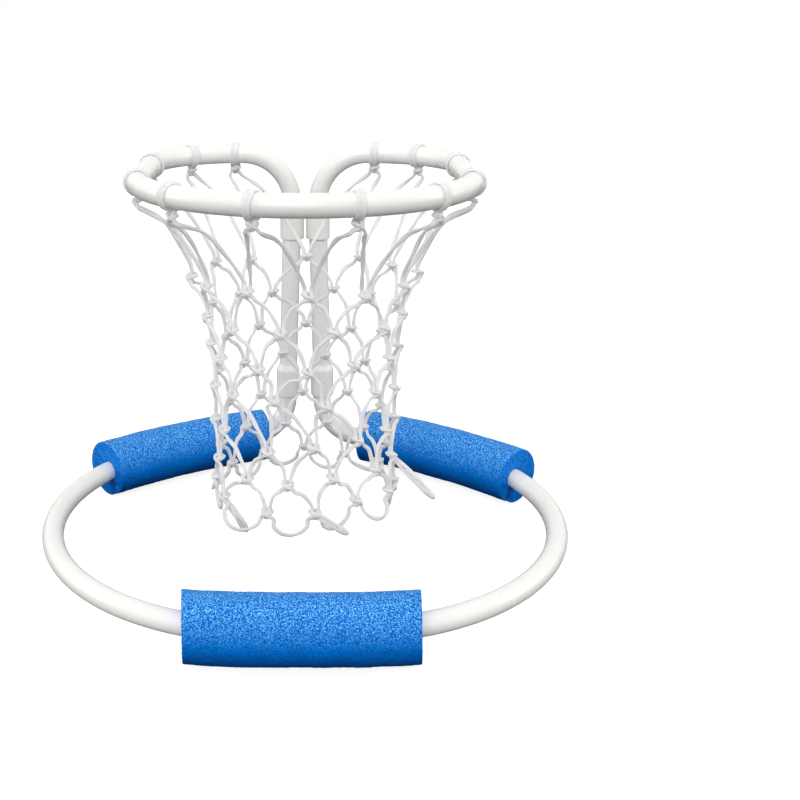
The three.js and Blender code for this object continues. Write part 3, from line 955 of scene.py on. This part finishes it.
    def rim(self) -> None:
        """Build the rim with its two belled legs."""
        s = self.sizes
        half = s.rim_half()
        heading = math.radians(s.rim_leg_heading)
        way = np.array([-math.cos(heading), math.sin(heading), 0.0])
        bend = self.bend(half[-1], s.rim_leg_bend_radius, UP, way, self.rim_bend_steps)
        mouth = np.array([[s.post_top_half_spacing, s.leg_y, s.rim_socket_mouth_height]])
        right = np.vstack([half, bend, mouth])
        route = Route(s.placed(np.vstack([right[:0:-1] * MIRROR, right])), FRONT)
        bell = self.bell(s.rim_socket_depth)
        far = [[(route.length - place, radius) for place, radius in reversed(part)] for part in bell]
        outside, inside = [*bell[0], *far[0]], [*far[1], *bell[1]]
        self.pipe("rim_pipe", "rim", "rim_tube", route, outside, inside, self.rim_step)

    def build(self) -> None:
        """Build all the tubes."""
        for side in Side:
            self.ring_half(side)
            self.post(side)
        self.rim()


# Foam floats


@dataclass(frozen=True)
class Cut:
    """A cut end: its reach past its place, and what it adds per millimetre inwards and downwards."""

    reach: float = 0.0
    slant: float = 0.0
    lean: float = 0.0


@dataclass
class FoamFloats(Assembly):
    """The slit foam sleeves on the ring."""

    front_cuts: tuple[Cut, Cut] = (Cut(7.3, 0.23, 0.02), Cut(1.5, 0.2, 0.04))
    spacing: float = 1.9
    corner: float = 1.6
    inner_corner: float = 1.2
    corner_steps: int = 6
    wall_eighths: tuple[tuple[int, ...], tuple[int, ...]] = ((3, 2, 1), (4, 2, 1))
    end_corner: float = 0.8
    end_steps: int = 5
    cut_run: float = 34.0
    fill: float = 0.9
    dimple: float = 0.09
    dimple_mm: float = 5.5
    swell: float = 0.14
    swell_mm: float = 34.0
    swell_waves: int = 9
    crest: float = 0.35
    skin_inset: float = 0.3
    bore_share: float = 0.3
    saw_mark: float = 0.25
    saw_mark_mm: float = 3.5
    cap_rows: int = 9
    front_seed: int = 11
    rear_seed: int = 21

    def section(self) -> tuple[np.ndarray, int]:
        """Give the sleeve's section.

        Returns:
            Points as (down, towards the middle of the ring), the outside first, and how many belong to the
            outside. The inside has as many, in the opposite order.
        """
        s = self.sizes
        half = s.float_slit_width / 2
        skins = ((s.float_radius, self.corner, -1), (s.float_bore_radius, self.inner_corner, 1))
        edges = [
            math.sqrt((radius + bulge * corner) ** 2 - (half + corner) ** 2)
            for radius, corner, bulge in skins
        ]
        turns = [math.degrees(math.atan2(half + skin[1], edge)) for skin, edge in zip(skins, edges)]
        wall = edges[0] - edges[1]
        rows = round(s.float_radius * math.radians(360 - 2 * turns[0]) / self.spacing)
        outlines = []
        for (radius, corner, bulge), edge, turn, eighths in zip(skins, edges, turns, self.wall_eighths):
            last = turn if bulge < 0 else turn - 180
            side = [(edge + bulge * wall * eighth / 8, half) for eighth in eighths]
            side += arc((edge, half + corner), corner, -90, last, self.corner_steps)
            round_ = arc((0, 0), radius, turn, 360 - turn, rows)[1:-1]
            outlines.append([*side, *round_, *[(x, -y) for x, y in reversed(side)]])
        turn = math.radians(s.float_slit_angle)
        spin = np.array([[math.cos(turn), math.sin(turn)], [-math.sin(turn), math.cos(turn)]])
        return np.array([*outlines[0], *reversed(outlines[1])]) @ spin, len(outlines[0])

    def stations(self, length: float) -> tuple[np.ndarray, np.ndarray]:
        """Share out a sleeve's rows along it.

        Args:
            length: The sleeve's length.

        Returns:
            The rows' places and how far each is drawn in, which rounds the edges of the cut ends.
        """
        r = self.end_corner
        turns = np.linspace(0, math.pi / 2, self.end_steps + 1)
        head, inset = r - r * np.cos(turns), r - r * np.sin(turns)
        body = np.linspace(r, length - r, round((length - 2 * r) / self.spacing) + 1)[1:-1]
        insets = np.concatenate([inset, 0 * body, inset[::-1]])
        return np.concatenate([head, body, length - head[::-1]]), insets

    def bend_room(self, ring: np.ndarray) -> np.ndarray:
        """Give how far the bore opens upward, where the tube bends up inside it.

        Args:
            ring: Points of the ring's centre line.

        Returns:
            The room at each of them.
        """
        s = self.sizes
        past = (ring - s.ring_point(Side.LEFT, s.ring_end_angle))[:, 0] * (ring[:, 1] > 0) * (ring[:, 0] < 0)
        reach = np.clip(past, 0, s.foot_bend_radius / 2)
        inner = s.foot_bend_radius - s.float_bore_radius
        return inner - np.sqrt(inner**2 - reach**2)

    def sleeve(
        self, name: str, body: str, ring: np.ndarray, outward: np.ndarray, seed: int, cuts: tuple[Cut, Cut]
    ) -> None:
        """Build one sleeve, which is less bowed than the ring in its bore and stands further in.

        Args:
            name: Its place on the ring, which names the piece and its node.
            body: The body that it rides on.
            ring: The ring's centre line under it.
            outward: The direction away from the ring's centre in its middle.
            seed: The number that its surface starts from.
            cuts: Its first and last cut end.
        """
        s = self.sizes
        section, outside = self.section()
        ahead = np.roll(section, -1, axis=0)
        way = ahead - np.roll(section, 1, axis=0)
        normals = unit(np.column_stack([way[:, 1], -way[:, 0]]))
        falls = (ring @ outward).max() - ring @ outward
        axis = ring + outward * (falls * (1 - s.float_bow_share) - falls[0] * s.float_setback_share)[:, None]
        route = Route(even_line(s.placed(axis), self.spacing), -UP)
        places, insets = self.stations(route.length)
        centres, downs, seconds = route.at(places)
        inward = seconds * np.sign(((s.placed(np.zeros(3)) - centres) * seconds).sum(axis=1))[:, None]
        shift, ring_under = (read_at(places, lengths_along(axis), rows) for rows in (ring - axis, ring))
        wall = s.float_radius - s.tube_radius
        depth = np.clip((s.float_radius - np.linalg.norm(section, axis=1)) / wall, 0, 1)
        room = self.bend_room(ring_under)[:, None] * (depth * (section[:, 0] < 0))
        flat = section - normals * insets[:, None, None]
        rows = centres[:, None] + laid(downs, inward, flat)
        rows = rows + shift[:, None] * depth[:, None] + UP * room[..., None]
        for cut, sign, gap in zip(cuts, (-1, 1), (places, route.length - places)):
            near = np.clip(1 - gap / self.cut_run, 0, 1) ** 2
            reach = cut.reach + cut.slant * flat[..., 1] + cut.lean * flat[..., 0]
            rows = rows + (np.cross(downs, seconds) * sign)[:, None] * (near[:, None] * reach)[..., None]
        rough = self.dimple * waves(rows, self.dimple_mm, seed)
        rough += self.swell * waves(rows, self.swell_mm, seed + 1, self.swell_waves)
        rough = np.minimum(rough, self.crest) - self.skin_inset
        rough[:, outside:] *= self.bore_share
        rows = rows + laid(downs, inward, normals[None]) * rough[..., None]
        maker = MeshMaker()
        around = np.concatenate([[0.0], np.cumsum(np.linalg.norm(ahead - section, axis=1))])
        maker.grid(rows, around, places[:, None])
        self.cap(maker, rows[0], outside, -route.tangents[0], seed, True)
        self.cap(maker, rows[-1], outside, route.tangents[-1], seed, False)
        piece = maker.build(f"{name}_foam")
        self.dress(piece, body, f"{name}_float")

    def cap(
        self, maker: MeshMaker, ring: np.ndarray, outside: int, way: np.ndarray, seed: int, first: bool
    ) -> None:
        """Close one cut end between its outer and its inner outline, with a rough sawn face.

        Args:
            maker: The mesh that gets the faces.
            ring: The end's outline.
            outside: How many of its points belong to the outside.
            way: The direction that the face looks.
            seed: The number that its surface starts from.
            first: Whether it is the sleeve's first end, whose faces turn the other way.
        """
        outer, inner = ring[:outside], ring[outside:][::-1]
        shares = np.linspace(0, 1, self.cap_rows)[:, None] * np.ones(outside)
        shares[:, (0, -1)] = np.round(shares[:, (0, -1)])
        rows = outer * (1 - shares)[..., None] + inner * shares[..., None]
        marks = self.saw_mark * waves(rows, self.saw_mark_mm, seed + 2) * np.sin(math.pi * shares)
        rows = rows + way * marks[..., None]
        if first:
            rows = rows[::-1]
        reach = np.linalg.norm(rows - rows[0, 0], axis=-1)
        maker.grid(rows, reach, reach, round_=False)

    def build(self) -> None:
        """Build the three sleeves."""
        s = self.sizes
        half = s.front_float_half_angle
        ring = np.vstack([s.ring_arc(Side.LEFT, half - 90, -90), s.ring_arc(Side.RIGHT, -90, half - 90)])
        self.sleeve("front", "base", ring, FRONT, self.front_seed, self.front_cuts)
        for side, start in ((Side.LEFT, s.left_float_start_angle), (Side.RIGHT, s.right_float_start_angle)):
            end = start + s.rear_float_span_angle
            turn = math.radians((start + end) / 2)
            outward = np.array([side.value * math.cos(turn), math.sin(turn), 0.0])
            ring, name, seed = s.ring_arc(side, start, end), side.name.lower(), self.rear_seed + side.value
            self.sleeve(name, f"{name}_float", ring, outward, seed, (Cut(), Cut()))


# Net


@dataclass(frozen=True)
class KnotPlace:
    """A knot's middle, its own axes along its row and away from the net's axis, and how tight it is."""

    point: np.ndarray
    along: np.ndarray
    outward: np.ndarray
    tightness: float = 1.0

    def at(self, shares: np.ndarray, size: float) -> np.ndarray:
        """Place a table of points, written as shares of a size along the row, outward and up."""
        return self.point + size * self.tightness * shares @ np.array([self.along, self.outward, UP])


# Half of the bight that comes down from above, from where it enters on the left to its lowest point, in
# shares of the cord's diameter: along the row, outward and up.
BIGHT_SHARES = np.array(
    [(-0.62, 0.0, 1.55), (-0.56, 0.08, 0.75), (-0.5, 0.3, 0.0), (-0.3, 0.5, -0.62), (0.0, 0.56, -0.86)]
)

# The lower cord, in the same shares, from the middle of its back pass behind the bight to where it leaves: on
# the right, and on the left, where it passes in front on its way up and lies under the other half.
LEAVING_SHARES = {
    Side.RIGHT: np.array(
        [(0.0, -0.82, 0.42), (-0.62, -0.62, 0.5), (-1.06, 0.0, 0.5), (-0.72, 0.72, 0.42)]
        + [(0.0, 1.02, 0.12), (0.66, 0.72, -0.3), (1.12, 0.22, -0.72), (1.5, 0.02, -1.3)]
    ),
    Side.LEFT: np.array(
        [(0.0, -0.82, 0.42), (0.62, -0.66, 0.34), (1.02, 0.0, 0.22), (0.68, 0.6, 0.02)]
        + [(0.05, 0.78, -0.32), (-0.6, 0.6, -0.62), (-1.1, 0.2, -0.88), (-1.5, 0.02, -1.36)]
    ),
}

# How the real net's front knots sit off the model's even pattern: along the row and up, in millimetres, by
# the knot's row and its number round the net.
KNOT_SHIFTS = {
    0: {11: (1.0, 1.0), 0: (3.0, -2.0), 1: (5.0, -1.0)},
    1: {10: (-1.0, -6.0), 1: (9.0, -3.0)},
    2: {11: (5.0, 0.0), 0: (5.0, 1.0)},
    3: {10: (-8.0, 4.0), 11: (-6.0, 2.0), 0: (-7.0, -2.0), 1: (4.0, 4.0)},
    4: {11: (11.0, -8.0), 0: (8.0, -3.0), 1: (4.0, 4.0)},
    5: {10: (12.0, -6.0), 11: (10.0, -2.0), 0: (6.0, 3.0), 1: (9.0, 0.0)},
    6: {10: (-6.0, -1.0), 11: (9.0, -3.0), 0: (8.0, 1.0), 1: (4.0, 5.0), 2: (12.0, 3.0)},
}


@dataclass
class Net(Assembly):
    """The knotted net, laid out as in the model: loops on the rim, rows of knots and open end loops."""

    cord_diameter: float = 4.4
    cord_clearance: float = 0.3
    wrap_pitch: float = 5.1
    knot_bulge: float = 4.8
    ground_clearance: float = 28.0
    first_row_bulge: float = 11.0
    cell_bulge: float = 3.2
    free_shares: tuple[Shares, ...] = ((0.3, 0.95, 1.0), (0.62, 0.8, -0.6))
    wobble_share: float = 0.1
    end_loop_width_share: float = 1.08
    end_loop_turns: tuple[float, ...] = (203.0, 236.0, 270.0, 304.0, 337.0)
    wander_along: float = 5.1
    wander_down: float = 2.3
    setback_share: float = 0.492
    wander_share: float = 0.57
    loop_place_shares: Shares = (0.09, 0.26, 0.45, 0.7, 0.88, 0.985)
    row_drop_shares: Shares = (0.292, 0.395, 0.507, 0.61, 0.734, 0.84, 0.937)
    row_width_shares: Shares = (0.715, 0.632, 0.6, 0.594, 0.588, 0.582, 0.592)
    row_depth_shares: Shares = (0.57, 0.545, 0.54, 0.54, 0.54, 0.54, 0.55)
    row_lean_shares: Shares = (0.7, 0.4, 0.2, 0.0, 0.0, 0.0, 0.0)
    end_loop_lean_shares: Shares = (0, 0.03, -0.01, 0.02, 0.05, 0, 0.02, -0.01, 0.03, 0, 0.04, 0.01)
    lobe_share: float = 0.7
    lobe_shift_share: float = 0.36
    lay_mm: float = 95.0
    tight_share: float = 0.95
    tight_hold: float = 0.6
    tight_run: float = 5.0
    knot_share: float = 1.16
    loop_knot_tightness: float = 0.84
    hitch_turns: tuple[float, float] = (-62.0, 598.0)
    hitch_spread: float = 1.1
    hitch_steps: int = 34
    pressed_share: float = 0.6
    pressed_run: float = 1.5
    spread_share: float = 0.25
    tail_gap_share: float = 0.46
    tail_root_share: float = 0.4
    tail_lift_share: float = 0.2
    tail_shares: Shares = (0.25, 0.6, 0.88)
    tails: tuple[tuple[int, int, tuple[float, float, float]], ...] = (
        (6, 0, (33.0, -8.0, -18.0)),
        (6, 10, (24.0, -8.0, -36.0)),
        (5, 2, (45.0, -14.0, -43.0)),
    )
    steep: float = 0.9
    sides: int = 16
    spacing: float = 1.6
    seed: int = 5
    drop: float = field(init=False)
    centre_y: float = field(init=False)
    wander: float = field(init=False)
    count: int = field(init=False)
    loops: list[tuple[np.ndarray, np.ndarray]] = field(init=False)
    random: np.random.Generator = field(init=False)

    def __post_init__(self) -> None:
        """Make the net's material and work out its own sizes and the places of its loops."""
        super().__post_init__()
        s = self.sizes
        self.random = np.random.default_rng(self.seed)
        self.drop = s.rim_height - self.ground_clearance
        self.centre_y = s.leg_y - s.rim_reach * self.setback_share
        self.wander = self.cord_diameter * self.wander_share
        right = [self.rim_place(share) for share in self.loop_place_shares]
        self.loops = [*right, *[(point * MIRROR, -along * MIRROR) for point, along in reversed(right)]]
        self.count = len(self.loops)

    def rim_place(self, share: float) -> tuple[np.ndarray, np.ndarray]:
        """Give a place on the right half of the rim.

        Args:
            share: How far along its centre line the place is.

        Returns:
            The point and the line's direction there.
        """
        line = self.sizes.rim_half()
        lengths = lengths_along(line)
        place = share * lengths[-1]
        i = int(np.searchsorted(lengths, place)) - 1
        return read_at(np.array([place]), lengths, line)[0], unit(line[i + 1] - line[i])

    def azimuth(self, loop: int) -> float:
        """Give a loop's azimuth round the net, which grows with its number past a full turn."""
        point = self.loops[loop % self.count][0]
        return math.atan2(point[0], self.centre_y - point[1]) % FULL_TURN + FULL_TURN * (loop // self.count)

    def knot(self, row: int, number: int) -> KnotPlace:
        """Place a knot.

        Args:
            row: Its row, from above.
            number: Its number round the net. Even rows stand between loops number and number - 1, odd ones
                under loop number.

        Returns:
            The knot.
        """
        s, between, loop = self.sizes, row % 2 == 0, number % self.count
        even = (number + (0 if between else 0.5)) * FULL_TURN / self.count
        uneven = (self.azimuth(number) + self.azimuth(number - between)) / 2
        phase = self.wander_along * loop + self.wander_down * row
        width = s.rim_half_width * self.row_width_shares[row]
        depth = s.rim_half_width * self.row_depth_shares[row]
        azimuth = even + (uneven - even) * self.row_lean_shares[row] + self.wander / width * math.sin(phase)
        height = s.rim_height - self.drop * self.row_drop_shares[row] + self.wander * math.cos(2 * phase)
        x, y = math.sin(azimuth), -math.cos(azimuth)
        along = np.array([-y, x, 0.0])
        aside, up = KNOT_SHIFTS[row].get(loop, (0.0, 0.0))
        point = np.array([width * x, self.centre_y + depth * y, height + up]) + along * aside
        return KnotPlace(point, along, np.array([x, y, 0.0]))

    def loop_knot(self, loop: int) -> KnotPlace:
        """Place the knot under the rim.

        Args:
            loop: The loop that it ties off.

        Returns:
            The knot.
        """
        point, along = self.loops[loop]
        drop = self.sizes.tube_radius + self.cord_clearance + self.cord_diameter + self.knot_bulge / 2
        return KnotPlace(point - UP * drop, along, np.cross(along, UP), self.loop_knot_tightness)

    def leaving(self, knot: KnotPlace, way: Side) -> np.ndarray:
        """Give the lower cord's points from the back of a knot to where it leaves on one side."""
        return knot.at(LEAVING_SHARES[way], self.cord_diameter * self.knot_share)

    def entering(self, knot: KnotPlace, way: Side) -> np.ndarray:
        """Give the bight's points from where a cord that left on one side comes in to its lowest point."""
        return knot.at(BIGHT_SHARES * (way.value, 1, 1), self.cord_diameter * self.knot_share)

    def span(self, upper: KnotPlace, lower: KnotPlace, way: Side, bulge: float) -> np.ndarray:
        """Lay one cord from a knot down to the next.

        Args:
            upper: The knot that it leaves.
            lower: The knot that it comes down to.
            way: The side on which it leaves.
            bulge: How far it arches up from the straight line.

        Returns:
            The cord's line.
        """
        start, end = self.leaving(upper, way), self.entering(lower, way)
        chord = end[0] - start[-1]
        lift = unit(np.cross(np.cross(chord, UP), chord)) * bulge
        wobble = self.random.uniform(-1, 1, 3) * self.cord_diameter * self.wobble_share
        free = [
            start[-1] + chord * run + lift * rise + wobble * sway for run, rise, sway in self.free_shares
        ]
        return smooth_line([*start, *free, *end], self.spacing)

    def end_loop(self, left: KnotPlace, right: KnotPlace, loop: int) -> np.ndarray:
        """Lay an open loop between two knots of the last row.

        Args:
            left: The knot on the left.
            right: The knot on the right.
            loop: The loop's number round the net.

        Returns:
            The cord's line.
        """
        start, end = self.leaving(left, Side.RIGHT), self.leaving(right, Side.LEFT)[::-1]
        out = unit(left.outward + right.outward) * self.drop * self.end_loop_lean_shares[loop]
        middle = (start[-1] + end[0]) / 2
        across = (end[0] - start[-1]) / 2 * self.end_loop_width_share
        depth = self.drop * (1 - self.row_drop_shares[-1])
        fall = UP * (depth - ((left.point + right.point) / 2 - middle)[2])
        turns = np.radians(self.end_loop_turns)[:, None]
        free = middle + across * np.cos(turns) + (fall - out) * np.sin(turns)
        return smooth_line([*start, *free, *end], self.spacing)

    def hitch(self, loop: int) -> np.ndarray:
        """Lay the turns round the rim that end in the bight of the knot beneath.

        Args:
            loop: The loop's number.

        Returns:
            The cord's line.
        """
        point, along = self.loops[loop]
        knot = self.loop_knot(loop)
        radius = self.sizes.tube_radius + self.cord_clearance + self.cord_diameter * self.tight_share / 2
        angles = np.radians(np.linspace(*self.hitch_turns, self.hitch_steps + 1))[:, None]
        shifts = np.linspace(-0.5, 0.5, self.hitch_steps + 1)[:, None] * self.wrap_pitch * self.hitch_spread
        away = np.cross(along, UP) * np.cos(angles) + UP * np.sin(angles)
        turns = point + along * shifts + radius * away
        left, right = (self.entering(knot, way)[1:] for way in (Side.RIGHT, Side.LEFT))
        return smooth_line([*left[::-1], *turns, *right], self.spacing)

    def flatten(self, rows: np.ndarray, loop: int) -> np.ndarray:
        """Press a hitch flat onto the rim, so that it stands off less and gets wider.

        Args:
            rows: The points of the hitch's cord.
            loop: The loop that it belongs to.

        Returns:
            The points, moved where they lie on the tube.
        """
        s = self.sizes
        point, along = self.loops[loop]
        away = rows - s.placed(point)
        run = away @ along
        away = away - along * run[..., None]
        reach = np.linalg.norm(away, axis=-1)
        low = s.tube_radius + self.cord_clearance / 2
        pressed, top = low + self.cord_diameter * self.pressed_share, low + self.cord_diameter
        free = top + self.pressed_run * self.cord_diameter
        moved = np.where(reach < free, np.interp(reach, [low, top, free], [low, pressed, free]), reach)
        wide = 1 + self.spread_share * np.clip((free - reach) / (free - top), 0, 1)
        return s.placed(point) + away * (moved / reach)[..., None] + along * (run * wide)[..., None]

    def tail(self, knot: KnotPlace, way: np.ndarray) -> np.ndarray:
        """Lay a stiff doubled end that sticks out of a knot.

        Args:
            knot: The knot.
            way: Where its tip is, seen from the knot.

        Returns:
            The cord's line, out and back.
        """
        side = unit(np.cross(way, FRONT)) * self.cord_diameter * self.tail_gap_share
        start = knot.point + knot.outward * self.cord_diameter * self.tail_lift_share
        out, back = [start + side * self.tail_root_share], [start - side * self.tail_root_share]
        for run in self.tail_shares:
            out.append(start + side + way * run)
            back.append(start - side + way * run)
        return smooth_line([*out, start + way, *reversed(back)], self.spacing)

    def cord(self, maker: MeshMaker, line: np.ndarray, pressed_at: int | None = None) -> None:
        """Add a cord along a line: two plaited halves that lie side by side and turn slowly.

        Args:
            maker: The mesh that gets the cord.
            line: The cord's line.
            pressed_at: The loop where it is pressed flat onto the rim, if it is.
        """
        steep = abs(unit(line[1] - line[0])[2]) >= self.steep
        route = Route(self.sizes.placed(line), SIDEWAYS if steep else UP)
        angles = np.arange(self.sides) * FULL_TURN / self.sides
        half, offset = (self.cord_diameter / 2 * share for share in (self.lobe_share, self.lobe_shift_share))
        outline = offset * np.abs(np.cos(angles)) + np.sqrt(half**2 - (offset * np.sin(angles)) ** 2)
        spin = FULL_TURN * route.lengths / self.lay_mm + self.random.uniform(0, FULL_TURN)
        inside = np.minimum(route.lengths, route.length - route.lengths)
        loose = np.clip(inside / (self.tight_run * self.cord_diameter) - self.tight_hold, 0, 1)
        tight = self.tight_share + (1 - self.tight_share) * loose
        reach = (outline * tight[:, None])[..., None]
        rows = route.points[:, None] + spokes(route.firsts, route.seconds, angles + spin[:, None]) * reach
        first, last = (np.broadcast_to(tip, rows[:1].shape) for tip in route.points[[0, -1]])
        rows = np.concatenate([first, rows, last])
        if pressed_at is not None:
            rows = self.flatten(rows, pressed_at)
        along = np.concatenate([route.lengths[:1], route.lengths, route.lengths[-1:]])
        maker.grid(rows, np.linspace(0, 1, self.sides + 1), along[:, None])

    def panel(self, loop: int) -> None:
        """Build the part of the net under one loop.

        Args:
            loop: The loop's number.
        """
        maker = MeshMaker()
        self.cord(maker, self.hitch(loop), loop)
        ends = ((loop, Side.LEFT), (loop + 1, Side.RIGHT))
        for number, way in ends:
            line = self.span(self.loop_knot(loop), self.knot(0, number), way, self.first_row_bulge)
            self.cord(maker, line)
        last = len(self.row_drop_shares) - 1
        for row in range(last):
            for number, way in ends:
                if row % 2 == 0:
                    upper, lower, out = self.knot(row, number), self.knot(row + 1, loop), Side(-way.value)
                else:
                    upper, lower, out = self.knot(row, loop), self.knot(row + 1, number), way
                self.cord(maker, self.span(upper, lower, out, self.cell_bulge))
        self.cord(maker, self.end_loop(self.knot(last, loop), self.knot(last, loop + 1), loop))
        for row, number, way in self.tails:
            if number == loop:
                self.cord(maker, self.tail(self.knot(row, number), np.array(way)))
        name = f"{loop + 1:02d}"
        self.dress(maker.build(f"net_cords_{name}"), "rim", f"net_panel_{name}")

    def build(self) -> None:
        """Build the whole net."""
        for loop in range(self.count):
            self.panel(loop)


# Studio


@dataclass(frozen=True)
class Lamp:
    """A square soft lamp. Its size and place are in metres."""

    name: str
    power: float
    size: float
    place: tuple[float, float, float]


@dataclass
class Studio:
    """The camera, the floor and plain soft light. Sizes are in metres, lens and sensor in millimetres."""

    sizes: HoopSizes
    camera_back: float = 1.058
    camera_height: float = 0.5306
    camera_pitch: float = 19.3
    principal_point_px: float = 305.0
    frame_px: float = 800.0
    lens: float = 50.0
    sensor: float = 36.0
    floor_size: float = 24.0
    floor_gap: float = 0.0004
    sky_high: float = 0.57
    sky_low: float = 1.08
    sky_top: float = 0.9
    aim: tuple[float, float, float] = (0.0, 0.0, 0.2)
    lamps: tuple[Lamp, ...] = (
        Lamp("top_lamp", 6.0, 1.4, (0.1, -0.1, 1.9)),
        Lamp("front_lamp", 262.0, 5.2, (-0.9, -6.9, 3.2)),
        Lamp("left_lamp", 23.0, 1.6, (-3.2, 0.1, 1.0)),
        Lamp("right_lamp", 23.0, 1.6, (3.2, 0.1, 1.0)),
    )

    def camera(self) -> None:
        """Set the camera where the picture was taken from."""
        data = bpy.data.cameras.new("camera")
        data.lens = self.lens
        data.sensor_width = self.sensor
        data.shift_x = (self.frame_px / 2 - self.principal_point_px) / self.frame_px
        eye = bpy.data.objects.new("camera", data)
        eye.location = (0.0, self.sizes.shift_y * MM - self.camera_back, self.camera_height)
        eye.rotation_euler = (math.radians(90 - self.camera_pitch), 0.0, 0.0)
        bpy.context.scene.collection.objects.link(eye)
        bpy.context.scene.camera = eye

    def floor(self) -> None:
        """Lay the floor."""
        half = self.floor_size / 2
        mesh = bpy.data.meshes.new("floor")
        corners = [(-half, -half, 0), (half, -half, 0), (half, half, 0), (-half, half, 0)]
        mesh.from_pydata(corners, [], [(0, 1, 2, 3)])
        mesh.materials.append(StudioPaper().make())
        floor = bpy.data.objects.new("floor", mesh)
        floor.location = (0, 0, -self.floor_gap)
        bpy.context.scene.collection.objects.link(floor)

    def hang(self, lamp: Lamp) -> None:
        """Hang a lamp so that it looks at the hoop.

        Args:
            lamp: The lamp.
        """
        data = bpy.data.lights.new(lamp.name, "AREA")
        data.energy = lamp.power
        data.size = lamp.size
        light = bpy.data.objects.new(lamp.name, data)
        light.location = lamp.place
        light.rotation_euler = (Vector(self.aim) - light.location).to_track_quat("-Z", "Y").to_euler()
        bpy.context.scene.collection.objects.link(light)

    def world(self) -> None:
        """Make the surroundings white to the eye, and their soft light brighter from the sides."""
        world = bpy.data.worlds.new("studio")
        bpy.context.scene.world = world
        world.use_nodes = True
        world.node_tree.nodes.clear()
        node = partial(add_node, world.node_tree)
        white = (1, 1, 1, 1)
        rays = node("ShaderNodeLightPath").outputs["Is Camera Ray"]
        seen = node("ShaderNodeBackground", {"Color": white, "Strength": 1.0})
        place = node("ShaderNodeTexCoord").outputs["Generated"]
        height = node("ShaderNodeSeparateXYZ", {0: place}).outputs["Z"]
        glow = {"From Max": self.sky_top, "To Min": self.sky_low, "To Max": self.sky_high}
        sky = node("ShaderNodeMapRange", {"Value": height, **glow})
        thrown = node("ShaderNodeBackground", {"Color": white, "Strength": sky})
        mix = node("ShaderNodeMixShader", {0: rays, 1: thrown, 2: seen})
        node("ShaderNodeOutputWorld", {"Surface": mix})

    def build(self) -> None:
        """Set up the studio, the camera first."""
        self.camera()
        self.floor()
        self.world()
        for lamp in self.lamps:
            self.hang(lamp)
        bpy.context.scene.view_settings.view_transform = "Standard"


def main() -> None:
    """Build the hoop and its studio in order."""
    logging.basicConfig(level=logging.INFO, format="%(name)s %(message)s")
    sizes = HoopSizes()
    Studio(sizes).build()
    Tubework(sizes, ExtrudedPvc()).build()
    FoamFloats(sizes, ClosedCellFoam()).build()
    Net(sizes, BraidedCord()).build()


if __name__ == "__main__":
    main()
